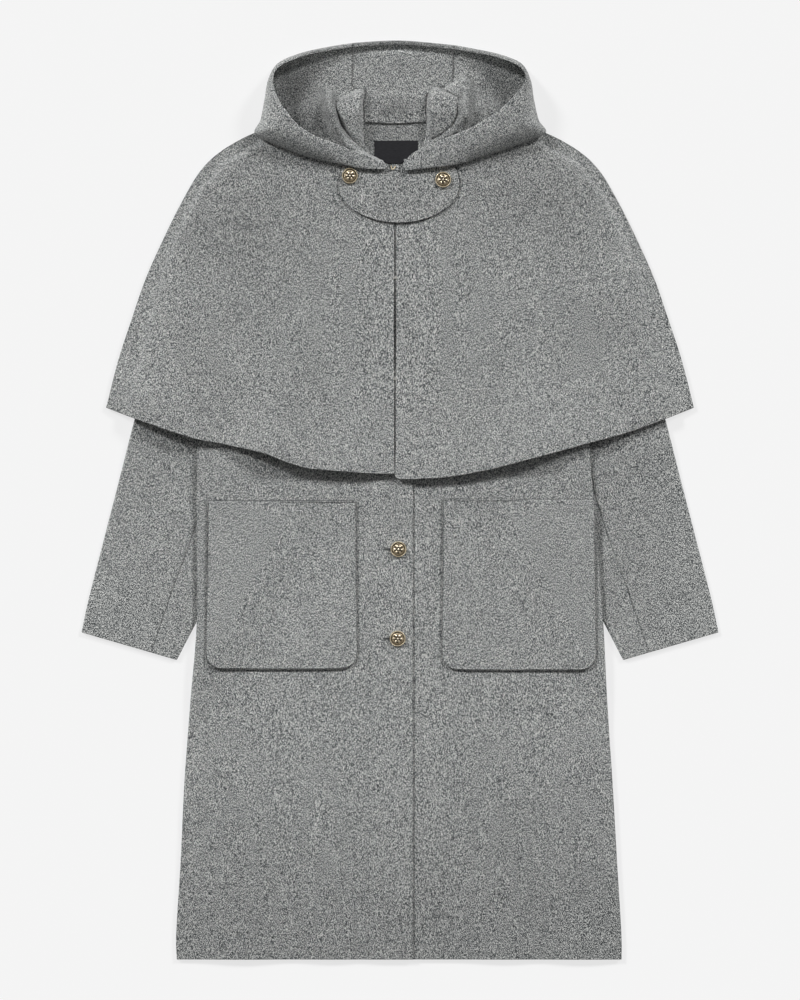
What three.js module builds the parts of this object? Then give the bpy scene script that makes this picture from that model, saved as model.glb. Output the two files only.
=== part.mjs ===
// A hooded wool coat with an elbow-length cape, laid flat on its back with the front up.
// Millimetres. X runs to the wearer's left, Y towards the hood, Z up from the surface it lies on.
// Right and left are the wearer's, so the right side has negative X.
import * as THREE from "three";

// Cloth
const CLOTH = 2.2; // thickness of the brushed double-face wool
const GAP = 0.4; // between one layer of cloth and the next
const LEVEL = CLOTH + GAP; // rise from one layer to the next
const SEAM = 0.35; // between two pieces sewn edge to edge
const EASE = 0.3; // extra air between the layers of the coat's body
const ARMHOLE_SEAM = 0.8; // between a sleeve and the armhole
const MARGIN = 12; // how far past an edge the cloth on top of it stays raised
const CAPE_EASE = 1.6; // air between the coat and the loose cape
const SLOPE = {
  // how wide the soft slope is where cloth comes down over an edge below it
  capeHem: 70,
  underEdge: 24,
  coatEdge: 10,
  frontOverlap: 110,
  tuckedBody: 50,
  hoodShoulder: 36,
  hoodNeck: 9,
  hoodTab: 5,
  hoodLabel: 6,
};
const REACH = {
  // how far past an edge below it the cloth stays up before that slope starts
  capeHem: 24,
  underEdge: 6,
  coatEdge: 9,
  coatEdgeUnderHood: 30,
  hoodShoulder: 4,
  hoodNeck: 8,
  hoodTab: 4,
  hoodLabel: 4,
};

// Neck
const NECK_Y = 497; // side neck point
const NECK_HALF_WIDTH = 98;
const NECK_DROP = 71; // from the side neck point down to the front neck
const BACK_NECK_DIP = 5;

// Cape
const CAPE_HALF_WIDTH = 382; // at the corners of the hem
const CAPE_CENTRE_X = -6.5; // where the two cape fronts meet
const CAPE_SIDE = [
  // outline from the side neck point down to the corner of the hem
  { x: 98, y: 497 },
  { x: 150, y: 489 },
  { x: 194, y: 475 },
  { x: 237, y: 450 },
  { x: 259, y: 428 },
  { x: 282, y: 390 },
  { x: 308, y: 338 },
  { x: 331, y: 286 },
  { x: 349, y: 234 },
  { x: 366, y: 182 },
  { x: 382, y: 120 },
];
const CAPE_HEM = {
  // height of the hem at the centre, its rise to the corners and how sharply it rises
  right: { centre: 34, rise: 86, power: 1.8 },
  left: { centre: 27, rise: 92, power: 1.65 },
  back: { centre: 46, rise: 76, power: 1.75 },
};
const CAPE_HEM_LIFT = [
  // how high the front hem stands off the coat
  { x: -382, lift: 0 },
  { x: -355, lift: 6 },
  { x: -300, lift: 13 },
  { x: -262, lift: 9 },
  { x: -235, lift: 2 },
  { x: -205, lift: 7 },
  { x: -160, lift: 15 },
  { x: -110, lift: 10 },
  { x: -60, lift: 7 },
  { x: -7, lift: 3 },
  { x: 60, lift: 5 },
  { x: 120, lift: 10 },
  { x: 180, lift: 12 },
  { x: 245, lift: 5 },
  { x: 290, lift: 4 },
  { x: 340, lift: 3 },
  { x: 382, lift: 0 },
];
const LIFT_REACH = 130; // how far up from the hem that lift reaches
const CAPE_EDGE = [
  // the front edges meet at the centre and part a little below the chest
  { y: 290, parted: 0 },
  { y: 222, parted: 0.9 },
  { y: 155, parted: 0 },
];
const HEM_CORNER_RISE = { right: 0, left: 4 }; // how far the rounded lower corner is cut up

// Coat
const HEM_Y = -597;
const SHOULDER = { x: 222, y: 426 };
const ARMHOLE_HOLLOW = 5; // how far the armhole curves in from a straight line
const UNDERARM_Y = 250;
const COAT_SIDE = [
  // half width of the coat on each side, below the underarm
  { y: 250, right: 262, left: 244 },
  { y: 225, right: 262, left: 244 },
  { y: 190, right: 262, left: 244 },
  { y: 74, right: 263, left: 246 },
  { y: -39, right: 264, left: 255 },
  { y: -160, right: 264, left: 264 },
  { y: -260, right: 272, left: 269 },
  { y: -364, right: 280, left: 276 },
  { y: -468, right: 285, left: 282 },
  { y: -572, right: 291, left: 288 },
  { y: -597, right: 290, left: 288 },
];
const TOP_EDGE_X = 17; // front edge of the right front, on top
const UNDER_EDGE_X = -22; // front edge of the left front, underneath

// Sleeves, the same on both sides
const SLEEVE_OUTER = [
  { x: 246, y: 402 },
  { x: 271, y: 355 },
  { x: 292, y: 300 },
  { x: 308, y: 240 },
  { x: 324, y: 180 },
  { x: 345, y: 104 },
  { x: 365, y: 26 },
  { x: 385, y: -52 },
  { x: 405, y: -130 },
  { x: 414, y: -172 },
];
const SLEEVE_INNER = [
  // the edge that is tucked under the body of the coat
  { x: 232, y: 165 },
  { x: 190, y: 110 },
  { x: 174, y: 50 },
  { x: 185, y: -10 },
  { x: 215, y: -70 },
  { x: 245, y: -122 },
  { x: 265, y: -160 },
  { x: 290, y: -208 },
];
const TUCK_TOP_Y = 200; // below this the sleeve goes under the body
const SLOPE_EASE = 1; // extra air between layers where they slope over the sleeve
const TUCK_SPREAD = 90; // how wide the body's slope down from the sleeve is
const PAST_CUFF = 0.8; // how fast the body comes down past the cuff
const CAPE_TUCK = { start: 310, top: 250 }; // where the cape starts to rise over the tucked sleeve
const FAN_POWER = 1.8; // how the sleeve's rows gather below the underarm
const UNDERARM_SHARE = 0.33; // share of the sleeve's length that fans out from the underarm
const SEAM_SHARE_TOP = 0.52; // place of the front sleeve seam across the sleeve
const SEAM_SHARE_CUFF = 0.73;
const BACK_SEAM_SHARE = 0.3;
const SEAM_GAP_SHARE = 0.002; // half of a sleeve seam's gap, as a share of the sleeve's width

// Patch pockets
const POCKETS = {
  right: { x0: -251, x1: -56, y0: -220, y1: -1 },
  left: { x0: 55, x1: 254, y0: -221, y1: 1 },
};
const POCKET_CORNER = 19;

// Throat tab
const TAB = { x: -1.5, top: 434, middle: 412, halfWidth: 79.5, drop: 53, shoulder: 74, slack: 2.5 };

// Buttons and trim
const BUTTON_RADIUS = 10.2;
const BUTTON_HEIGHT = 4.4;
const BUTTON_SIDES = 16;
const BUTTON_PROFILE = [
  // shares of the radius and of the height, from the back round the raised rim to the dome
  { out: 0, up: 0 },
  { out: 0.86, up: 0 },
  { out: 1, up: 0.18 },
  { out: 0.97, up: 0.5 },
  { out: 0.84, up: 0.58 },
  { out: 0.76, up: 0.42 },
  { out: 0.5, up: 0.72 },
  { out: 0.26, up: 0.94 },
  { out: 0, up: 1 },
];
const BUTTONS = {
  coat_button_upper: { x: -2, y: -64 },
  coat_button_lower: { x: -3, y: -180 },
  tab_button_right: { x: -65, y: 420.5 },
  tab_button_left: { x: 56, y: 415.5 },
};
const LABEL = { x: -5, top: 467, width: 57, height: 30, thickness: 0.6 };
const HOOK = { x: -8, y: 429, width: 7, length: 8, wire: 0.7 };

// Hood. Each row is one section from the throat round to the seam of the centre strip:
// the outer edge, the rim of the face opening with its height, and the end at the neck.
const HOOD_RIGHT = [
  { outX: -20, outY: 429, rimX: -15, rimY: 432, rimZ: 22, neckX: -13, neckY: 435 },
  { outX: -50, outY: 430, rimX: -37, rimY: 444, rimZ: 24, neckX: -27, neckY: 441 },
  { outX: -85, outY: 437, rimX: -62, rimY: 453, rimZ: 28, neckX: -36, neckY: 448 },
  { outX: -120, outY: 445, rimX: -88, rimY: 463, rimZ: 33, neckX: -44, neckY: 456 },
  { outX: -155, outY: 458, rimX: -112, rimY: 472, rimZ: 38, neckX: -48, neckY: 464 },
  { outX: -188, outY: 475, rimX: -134, rimY: 487, rimZ: 43, neckX: -49, neckY: 472 },
  { outX: -181, outY: 494, rimX: -147, rimY: 503, rimZ: 45, neckX: -49, neckY: 475.5 },
  { outX: -176, outY: 521, rimX: -157, rimY: 519, rimZ: 44, neckX: -49, neckY: 479 },
  { outX: -171, outY: 547, rimX: -164, rimY: 542, rimZ: 40, neckX: -48.6, neckY: 482 },
  { outX: -158, outY: 568, rimX: -156, rimY: 561, rimZ: 29, neckX: -48, neckY: 484.5 },
  { outX: -128, outY: 581, rimX: -126, rimY: 575, rimZ: 20, neckX: -47.4, neckY: 487 },
  { outX: -92, outY: 589, rimX: -91, rimY: 583, rimZ: 15, neckX: -46.7, neckY: 489 },
  { outX: -61, outY: 594, rimX: -61, rimY: 588, rimZ: 12, neckX: -46, neckY: 491 },
];
const HOOD_LEFT = [
  { outX: 6, outY: 427, rimX: 2, rimY: 435, rimZ: 22, neckX: 5, neckY: 440 },
  { outX: 35, outY: 430, rimX: 17, rimY: 450, rimZ: 24, neckX: 18, neckY: 448 },
  { outX: 70, outY: 434, rimX: 41, rimY: 461, rimZ: 28, neckX: 26, neckY: 456 },
  { outX: 105, outY: 444, rimX: 68, rimY: 472, rimZ: 33, neckX: 31, neckY: 463 },
  { outX: 143, outY: 457, rimX: 94, rimY: 483, rimZ: 38, neckX: 33, neckY: 470 },
  { outX: 188, outY: 475, rimX: 122, rimY: 500, rimZ: 43, neckX: 34, neckY: 477 },
  { outX: 180, outY: 494, rimX: 139, rimY: 514, rimZ: 45, neckX: 34.6, neckY: 479.5 },
  { outX: 174, outY: 521, rimX: 152, rimY: 528, rimZ: 44, neckX: 35, neckY: 482 },
  { outX: 170, outY: 545, rimX: 162, rimY: 544, rimZ: 40, neckX: 35, neckY: 484.2 },
  { outX: 158, outY: 567, rimX: 156, rimY: 560, rimZ: 29, neckX: 35, neckY: 486.2 },
  { outX: 130, outY: 579, rimX: 128, rimY: 573, rimZ: 20, neckX: 34.8, neckY: 488 },
  { outX: 98, outY: 586, rimX: 97, rimY: 580, rimZ: 15, neckX: 34.5, neckY: 489.8 },
  { outX: 71, outY: 591, rimX: 70, rimY: 585, rimZ: 12, neckX: 34, neckY: 491.6 },
];
const HOOD_CENTER = { outX: 0, outY: 597, rimX: 0, rimY: 591, rimZ: 11, neckX: -6, neckY: 489 };
const HOOD_TURN = 5; // half the height of the fold round the outer edge
const SEAM_FLAT = { from: 3.4, to: 11 }; // how far beside the centre strip's seams the folds start
const SEAM_PULL = 4; // how sharply the bow of those seams dies out round the side panels

const SEAM_BOW = {
  // how far the seams of the centre strip bow out halfway along
  right: { x: -4.75, y: 2.75 },
  left: { x: 7, y: 3.3 },
};

// Folds that stand up inside the hood: each is a crest with its height at each point, and how
// far it falls away on its left and its right, seen along the crest.
const HOOD_FOLDS = [
  {
    // inner edge of the right lobe, from the top down to the throat
    fall: { left: 5, right: 17 },
    crest: [
      { x: -63, y: 534, height: 12 },
      { x: -59, y: 515, height: 22 },
      { x: -55, y: 497, height: 23 },
      { x: -56, y: 480, height: 19 },
      { x: -52, y: 464, height: 12 },
      { x: -40, y: 451, height: 5 },
    ],
  },
  {
    // upper edge of the right lobe
    fall: { left: 18, right: 6 },
    crest: [
      { x: -85, y: 511, height: 6 },
      { x: -77, y: 520, height: 14 },
      { x: -69, y: 527, height: 18 },
      { x: -61, y: 532, height: 14 },
    ],
  },
  {
    // ridge outside the right lobe
    fall: { left: 7, right: 8 },
    crest: [
      { x: -88, y: 532, height: 9 },
      { x: -91, y: 513, height: 18 },
      { x: -86, y: 493, height: 19 },
      { x: -76, y: 477, height: 16 },
      { x: -59, y: 458, height: 9 },
      { x: -37, y: 444, height: 3 },
    ],
  },
  {
    // inner edge of the left lobe
    fall: { left: 17, right: 6 },
    crest: [
      { x: 50, y: 526, height: 14 },
      { x: 47, y: 515, height: 19 },
      { x: 43, y: 498, height: 18 },
      { x: 42, y: 480, height: 14 },
      { x: 37, y: 465, height: 7 },
    ],
  },
  {
    // upper edge of the left lobe
    fall: { left: 6, right: 20 },
    crest: [
      { x: 48, y: 531, height: 14 },
      { x: 58, y: 529, height: 19 },
      { x: 69, y: 524, height: 17 },
      { x: 78, y: 518, height: 10 },
    ],
  },
  {
    // ridge outside the left lobe
    fall: { left: 6, right: 7 },
    crest: [
      { x: 76, y: 545, height: 8 },
      { x: 86, y: 539, height: 15 },
      { x: 87, y: 530, height: 18 },
      { x: 82, y: 514, height: 18 },
      { x: 81, y: 499, height: 15 },
      { x: 72, y: 484, height: 9 },
    ],
  },
];

const WOOL = { color: 0x8f9190, roughness: 0.95, metalness: 0 };
const GILT = { color: 0xb08d57, roughness: 0.35, metalness: 0.9 };
const BLACK_SATIN = { color: 0x2a2a2c, roughness: 0.6, metalness: 0 };

const coat = new THREE.Group();
const { clamp, lerp, smoothstep } = THREE.MathUtils;

function add(name, geometry, finish) {
  geometry.computeVertexNormals();
  const mesh = new THREE.Mesh(geometry, new THREE.MeshStandardMaterial(finish));
  mesh.name = name;
  coat.add(mesh);
}

// Lines and surfaces

// A smooth line through points, read at a share of its length from 0 to 1.
function smoothLine(points) {
  const vectors = points.map((p) => new THREE.Vector3(p.x, p.y, p.height ?? 0));
  const curve = new THREE.CatmullRomCurve3(vectors, false, "centripetal");
  curve.arcLengthDivisions = 400;
  return (share) => curve.getPointAt(clamp(share, 0, 1));
}

// A value from a table whose rows rise or fall along one column, read in straight stretches.
function fromTable(rows, column, value, at) {
  const rising = rows[0][column] < rows[rows.length - 1][column];
  const ordered = rising ? rows : [...rows].reverse();
  const last = ordered.length - 1;
  if (at <= ordered[0][column]) return ordered[0][value];
  if (at >= ordered[last][column]) return ordered[last][value];
  const i = ordered.findIndex((row) => row[column] > at);
  const share = (at - ordered[i - 1][column]) / (ordered[i][column] - ordered[i - 1][column]);
  return lerp(ordered[i - 1][value], ordered[i][value], share);
}

// 1 inside an edge and a margin past it, then a soft slope to 0. Inside is a positive distance.
const raised = (distance, slope, margin = MARGIN) =>
  smoothstep(distance, -margin - slope, -margin);

// The surface between four edges. u runs from left to right and v from top to bottom.
function surfaceBetween({ top, bottom, left, right }) {
  const corners = [top(0), top(1), bottom(0), bottom(1)];
  return (u, v) => {
    const point = top(u).multiplyScalar(1 - v).addScaledVector(bottom(u), v);
    point.addScaledVector(left(v), 1 - u).addScaledVector(right(v), u);
    point.addScaledVector(corners[0], -(1 - u) * (1 - v));
    point.addScaledVector(corners[1], -u * (1 - v));
    point.addScaledVector(corners[2], -(1 - u) * v);
    return point.addScaledVector(corners[3], -u * v);
  };
}

// Cloth with its outer face on a grid of points and its inner face one thickness behind it.
function clothWall(grid, thickness = CLOTH) {
  const rows = grid.length;
  const cols = grid[0].length;
  const positions = [];
  const at = (i, j) => grid[clamp(i, 0, rows - 1)][clamp(j, 0, cols - 1)];
  grid.forEach((row) => row.forEach((p) => positions.push(p.x, p.y, p.z)));
  for (let i = 0; i < rows; i++)
    for (let j = 0; j < cols; j++) {
      const down = new THREE.Vector3().subVectors(at(i + 1, j), at(i - 1, j));
      const across = new THREE.Vector3().subVectors(at(i, j + 1), at(i, j - 1));
      const inward = across.cross(down).normalize();
      const p = grid[i][j].clone().addScaledVector(inward, thickness);
      positions.push(p.x, p.y, p.z);
    }
  const outer = (i, j) => i * cols + j;
  const inner = (i, j) => rows * cols + outer(i, j);
  const faces = [];
  const edge = (p, q, p2, q2) => faces.push(q, p, p2, q, p2, q2);
  for (let i = 0; i < rows - 1; i++)
    for (let j = 0; j < cols - 1; j++) {
      faces.push(outer(i, j), outer(i + 1, j), outer(i + 1, j + 1));
      faces.push(outer(i, j), outer(i + 1, j + 1), outer(i, j + 1));
      faces.push(inner(i, j), inner(i + 1, j + 1), inner(i + 1, j));
      faces.push(inner(i, j), inner(i, j + 1), inner(i + 1, j + 1));
    }
  for (let i = 0; i < rows - 1; i++) {
    edge(outer(i, 0), outer(i + 1, 0), inner(i, 0), inner(i + 1, 0));
    const j = cols - 1;
    edge(outer(i + 1, j), outer(i, j), inner(i + 1, j), inner(i, j));
  }
  for (let j = 0; j < cols - 1; j++) {
    edge(outer(0, j + 1), outer(0, j), inner(0, j + 1), inner(0, j));
    const i = rows - 1;
    edge(outer(i, j), outer(i, j + 1), inner(i, j), inner(i, j + 1));
  }
  const geometry = new THREE.BufferGeometry();
  geometry.setAttribute("position", new THREE.Float32BufferAttribute(positions, 3));
  geometry.setIndex(faces);
  return geometry;
}

const even = (count) => Array.from({ length: count + 1 }, (_, i) => i / count);

// A panel that lies flat between four edges, its underside at the height that floor gives.
function layPanel(name, edges, us, vs, floor, thickness = CLOTH, finish = WOOL) {
  const surface = surfaceBetween(edges);
  const grid = vs.map((v) =>
    us.map((u) => {
      const point = surface(u, v);
      point.z = floor(point.x, point.y) + thickness;
      return point;
    }),
  );
  add(name, clothWall(grid, thickness), finish);
}

// Outlines that several pieces share

const mirrored = (rows, side) => rows.map((row) => ({ ...row, x: row.x * side }));
const sideName = (side) => (side < 0 ? "right" : "left");
const coatHalfWidth = (y, side) => fromTable(COAT_SIDE, "y", sideName(side), y);

function capeHemY(x, hem) {
  return hem.centre + hem.rise * Math.abs(x / CAPE_HALF_WIDTH) ** hem.power;
}

function frontNeckY(x) {
  const share = clamp(x / NECK_HALF_WIDTH, -1, 1);
  return NECK_Y - NECK_DROP * Math.sqrt(1 - share * share);
}

function neckPoints(fromX, toX, steps) {
  return even(steps).map((share) => {
    const angle = lerp(Math.asin(fromX / NECK_HALF_WIDTH), Math.asin(toX / NECK_HALF_WIDTH), share);
    const x = NECK_HALF_WIDTH * Math.sin(angle);
    return { x, y: frontNeckY(x) };
  });
}

const backNeck = smoothLine([
  { x: -NECK_HALF_WIDTH, y: NECK_Y },
  { x: 0, y: NECK_Y - BACK_NECK_DIP },
  { x: NECK_HALF_WIDTH, y: NECK_Y },
]);

function armholePoints(side) {
  const underarmX = coatHalfWidth(UNDERARM_Y, side);
  return even(6).map((share) => {
    const hollow = ARMHOLE_HOLLOW * Math.sin(Math.PI * share);
    const x = lerp(SHOULDER.x, underarmX, share) - hollow;
    return { x: side * x, y: lerp(SHOULDER.y, UNDERARM_Y, share) };
  });
}

function tuckedEdge(side) {
  const start = { x: coatHalfWidth(TUCK_TOP_Y, side) + SEAM, y: TUCK_TOP_Y };
  return [start, ...SLEEVE_INNER];
}

// Heights of the layers over the surface that the coat lies on

// Distance from the front neck edge, negative inside the opening.
function pastNeckEdge(x, y) {
  const across = x / NECK_HALF_WIDTH;
  const along = Math.min(y - NECK_Y, 0) / NECK_DROP;
  return (Math.hypot(across, along) - 1) * NECK_DROP;
}

const overCapeBack = (x, y) =>
  LEVEL * raised(y - capeHemY(x, CAPE_HEM.back), SLOPE.capeHem, REACH.capeHem);

// How much of its full lift, from 0 to 1, the sleeve underneath gives the body. The lift
// starts at startY, so that a wider piece on top can start rising further up.
function tuckShare(x, y, startY = UNDERARM_Y, topY = TUCK_TOP_Y) {
  const side = Math.sign(x) || 1;
  const cuff = SLEEVE_INNER.at(-1);
  const pastCuff = Math.max(cuff.y - y, 0) * PAST_CUFF;
  const edgeX = fromTable(tuckedEdge(side), "y", "x", y) + pastCuff;
  return raised(Math.abs(x) - edgeX, TUCK_SPREAD) * (1 - smoothstep(y, topY, startY));
}

// Layers that bend over the tucked sleeve don't press on each other on the slope.
const slopeEase = (share) => SLOPE_EASE * 4 * share * (1 - share);
const underCoatBack = (x, y) => overCapeBack(x, y) + (2 * LEVEL + EASE) * tuckShare(x, y);
const underLeftFront = (x, y) =>
  underCoatBack(x, y) + LEVEL + EASE + slopeEase(tuckShare(x, y));
const onUnderEdge = (x) =>
  LEVEL * raised(x - UNDER_EDGE_X, SLOPE.underEdge, REACH.underEdge);
const underRightFront = (x, y) => underLeftFront(x, y) + onUnderEdge(x);

function underPocket(x, y, side) {
  const front = side < 0 ? underRightFront : underLeftFront;
  return front(x, y) + LEVEL + 2 * EASE + slopeEase(tuckShare(x, y));
}

function overCoat(x, y, reach = REACH.coatEdge) {
  const ax = Math.abs(x);
  const slope = (NECK_Y - SHOULDER.y) / (SHOULDER.x - NECK_HALF_WIDTH);
  const belowShoulder = NECK_Y - (ax - NECK_HALF_WIDTH) * slope - y;
  const insideSleeve = fromTable([SHOULDER, ...SLEEVE_OUTER], "y", "x", y) - ax;
  const inside = Math.min(belowShoulder, insideSleeve);
  return (2 * LEVEL + EASE + CAPE_EASE) * raised(inside, SLOPE.coatEdge, reach);
}

function hemLift(x, y) {
  const hem = x < CAPE_CENTRE_X ? CAPE_HEM.right : CAPE_HEM.left;
  const near = smoothstep(LIFT_REACH - (y - capeHemY(x, hem)), 0, LIFT_REACH);
  return near * near * fromTable(CAPE_HEM_LIFT, "x", "lift", x);
}

function underCapeFront(x, y) {
  const outside = Math.abs(x) - coatHalfWidth(y, Math.sign(x) || 1);
  const tucked = tuckShare(x, y, CAPE_TUCK.start, CAPE_TUCK.top);
  const beside = smoothstep(outside, MARGIN, MARGIN + SLOPE.tuckedBody);
  const overBody = (2 * LEVEL + EASE) * tucked * (1 - beside);
  const overlap = Math.min(
    raised(x - UNDER_EDGE_X, SLOPE.frontOverlap),
    raised(TOP_EDGE_X - x, SLOPE.frontOverlap),
  );
  return LEVEL + overCoat(x, y) + overBody + LEVEL * overlap + hemLift(x, y);
}

const onCape = (x, y) => underCapeFront(x, y) + LEVEL;

function underHood(x, y) {
  const ax = Math.abs(x);
  const shoulderY = ax < NECK_HALF_WIDTH ? NECK_Y : fromTable(CAPE_SIDE, "x", "y", ax);
  const northward = raised(shoulderY - y, SLOPE.hoodShoulder, REACH.hoodShoulder);
  const cape = onCape(x, y) + overCoat(x, y, REACH.coatEdgeUnderHood) - overCoat(x, y);
  const capeTop = cape * northward;
  const onFront = capeTop * raised(pastNeckEdge(x, y), SLOPE.hoodNeck, REACH.hoodNeck);
  const onBack = 2 * LEVEL * northward;
  const besideTab = Math.max(ax - TAB.halfWidth - TAB.slack, y - TAB.top);
  const onTab = (capeTop + LEVEL) * raised(-besideTab, SLOPE.hoodTab, REACH.hoodTab);
  const besideLabel = Math.max(Math.abs(x - LABEL.x) - LABEL.width / 2, y - LABEL.top);
  const overLabel = 2 * LEVEL + LABEL.thickness + GAP;
  const onLabel = overLabel * raised(-besideLabel, SLOPE.hoodLabel, REACH.hoodLabel);
  return Math.max(onBack, onFront, onTab, onLabel);
}

// Pieces

function makeCapeBack() {
  const hem = even(12).map((share) => {
    const x = lerp(-CAPE_HALF_WIDTH, CAPE_HALF_WIDTH, share);
    return { x, y: capeHemY(x, CAPE_HEM.back) };
  });
  const edges = {
    top: backNeck,
    bottom: smoothLine(hem),
    left: smoothLine(mirrored(CAPE_SIDE, -1)),
    right: smoothLine(CAPE_SIDE),
  };
  layPanel("cape_back", edges, even(8), even(12), () => 0);
}

function makeCapeFront(side) {
  const edgeX = CAPE_CENTRE_X + side * (SEAM / 2);
  const hemPoints = even(10).map((share) => {
    const x = lerp(edgeX, side * CAPE_HALF_WIDTH, share);
    const corner = share === 0 ? HEM_CORNER_RISE[sideName(side)] : 0;
    return { x, y: capeHemY(x, CAPE_HEM[sideName(side)]) + corner };
  });
  const frontEdge = smoothLine([
    { x: edgeX, y: frontNeckY(edgeX) },
    ...CAPE_EDGE.map(({ y, parted }) => ({ x: edgeX + side * parted, y })),
    hemPoints[0],
  ]);
  const outline = smoothLine(mirrored(CAPE_SIDE, side));
  const across = smoothLine(neckPoints(edgeX, side * NECK_HALF_WIDTH, 6));
  const hemLine = smoothLine(hemPoints);
  const shares = [0, 0.04, 0.1, 0.2, 0.32, 0.44, 0.56, 0.67, 0.77, 0.85, 0.91, 0.96, 1];
  const flip = (line) => (share) => line(1 - share);
  const edges =
    side > 0
      ? { top: across, bottom: hemLine, left: frontEdge, right: outline }
      : { top: flip(across), bottom: flip(hemLine), left: outline, right: frontEdge };
  const us = side > 0 ? shares : shares.map((share) => 1 - share).reverse();
  const vs = [...even(14).slice(0, 14), 0.965, 1];
  layPanel(`cape_front_${sideName(side)}`, edges, us, vs, underCapeFront);
}

function coatSidePoints(side) {
  const rows = COAT_SIDE.map((row) => ({ x: side * row[sideName(side)], y: row.y }));
  return [...armholePoints(side).slice(0, -1), ...rows];
}

// From the shoulder tip up to just short of the side neck point.
function shoulderPoints(side) {
  return even(4).slice(0, -1).map((share) => ({
    x: side * lerp(SHOULDER.x, NECK_HALF_WIDTH, share),
    y: lerp(SHOULDER.y, NECK_Y, share),
  }));
}

// Shares down the coat, closest where it bends over the sleeve at the underarm.
const COAT_ROWS = [
  { from: 0, to: 0.17, steps: 6 },
  { from: 0.17, to: 0.25, steps: 5 },
  { from: 0.25, to: 0.7, steps: 13 },
  { from: 0.7, to: 1, steps: 4 },
].flatMap(({ from, to, steps }, i) =>
  even(steps).slice(i ? 1 : 0).map((share) => lerp(from, to, share)),
);

function makeCoatBack() {
  const necks = even(4).map((share) => backNeck(share));
  const edges = {
    top: smoothLine([...shoulderPoints(-1), ...necks, ...shoulderPoints(1).reverse()]),
    bottom: smoothLine([
      { x: -COAT_SIDE.at(-1).right, y: HEM_Y },
      { x: COAT_SIDE.at(-1).left, y: HEM_Y },
    ]),
    left: smoothLine(coatSidePoints(-1)),
    right: smoothLine(coatSidePoints(1)),
  };
  const half = [0, 0.05, 0.1, 0.15, 0.2, 0.25, 0.3, 0.36];
  const us = [...half, 0.5, ...half.map((share) => 1 - share).reverse()];
  layPanel("coat_back", edges, us, COAT_ROWS, underCoatBack);
}

function makeCoatFront(side) {
  const edgeX = side < 0 ? TOP_EDGE_X : UNDER_EDGE_X;
  const neck = neckPoints(side * NECK_HALF_WIDTH, edgeX, 6);
  const top = smoothLine([...shoulderPoints(side), ...neck]);
  const cornerX = side * COAT_SIDE.at(-1)[sideName(side)];
  const bottom = smoothLine([{ x: cornerX, y: HEM_Y }, { x: edgeX, y: HEM_Y }]);
  const outside = smoothLine(coatSidePoints(side));
  const edge = smoothLine([neck.at(-1), { x: edgeX, y: HEM_Y }]);
  const flip = (line) => (share) => line(1 - share);
  const edges =
    side < 0
      ? { top, bottom, left: outside, right: edge }
      : { top: flip(top), bottom: flip(bottom), left: edge, right: outside };
  const shares = [0, 0.09, 0.18, 0.27, 0.36, 0.45, 0.55, 0.65, 0.755, 0.84, 1];
  const us = side < 0 ? shares : shares.map((share) => 1 - share).reverse();
  const floor = side < 0 ? underRightFront : underLeftFront;
  layPanel(`coat_front_${sideName(side)}`, edges, us, COAT_ROWS, floor);
}

// Each sleeve is two pieces round a flattened tube. A place on it is a share across the
// sleeve from its outer fold, on the upper or the lower face.
function sleeveSurface(side) {
  const armhole = smoothLine(armholePoints(side));
  const tip = { x: SHOULDER.x + 1, y: SHOULDER.y };
  const outer = smoothLine(mirrored([tip, ...SLEEVE_OUTER], side));
  const tucked = smoothLine(mirrored(tuckedEdge(side), side));
  const underarm = armhole(1);
  const bulge = { x: underarm.x + side * 2.5, y: UNDERARM_Y - 12 };
  const besideBody = smoothLine([underarm, bulge, tucked(0)]);
  return (share, v) => {
    const past = (v - UNDERARM_SHARE) / (1 - UNDERARM_SHARE);
    const inner = past > 0 ? tucked(past) : besideBody((v / UNDERARM_SHARE) ** FAN_POWER);
    const point = outer(v).lerp(inner, share);
    const straight = armhole(0).lerp(underarm, share);
    const hollow = armhole(share).sub(straight);
    point.addScaledVector(hollow, 1 - clamp(v / UNDERARM_SHARE, 0, 1));
    if (past <= 0) point.x += side * ARMHOLE_SEAM;
    return point;
  };
}

function makeSleeve(side) {
  const surface = sleeveSurface(side);
  const tall = 2 * CLOTH + GAP;
  const fold = 0.02; // share of the sleeve's width that the fold's round edge takes
  const faces = (from, to, count, height) =>
    even(count).map((share) => ({ share: lerp(from, to, share), height }));
  const pieces = {
    upper: (seam) => [
      ...faces(seam, fold, 5, tall),
      { share: 0, height: tall / 2 },
      ...faces(fold, BACK_SEAM_SHARE - SEAM_GAP_SHARE, 3, 0),
    ],
    under: (seam) => [
      ...faces(BACK_SEAM_SHARE + SEAM_GAP_SHARE, 1 - fold, 5, 0),
      { share: 1, height: tall / 2 },
      ...faces(1 - fold, seam + 2 * SEAM_GAP_SHARE, 4, tall),
    ],
  };
  for (const [piece, places] of Object.entries(pieces)) {
    const grid = even(13).map((v) => {
      const seam = lerp(SEAM_SHARE_TOP, SEAM_SHARE_CUFF, v * v);
      return places(seam).map(({ share, height }) => {
        const point = surface(share, v);
        point.z = overCapeBack(point.x, point.y) + height;
        return point;
      });
    });
    if (side > 0) grid.reverse();
    add(`sleeve_${sideName(side)}_${piece}`, clothWall(grid.map((row) => [...row].reverse())), WOOL);
  }
}

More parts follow.
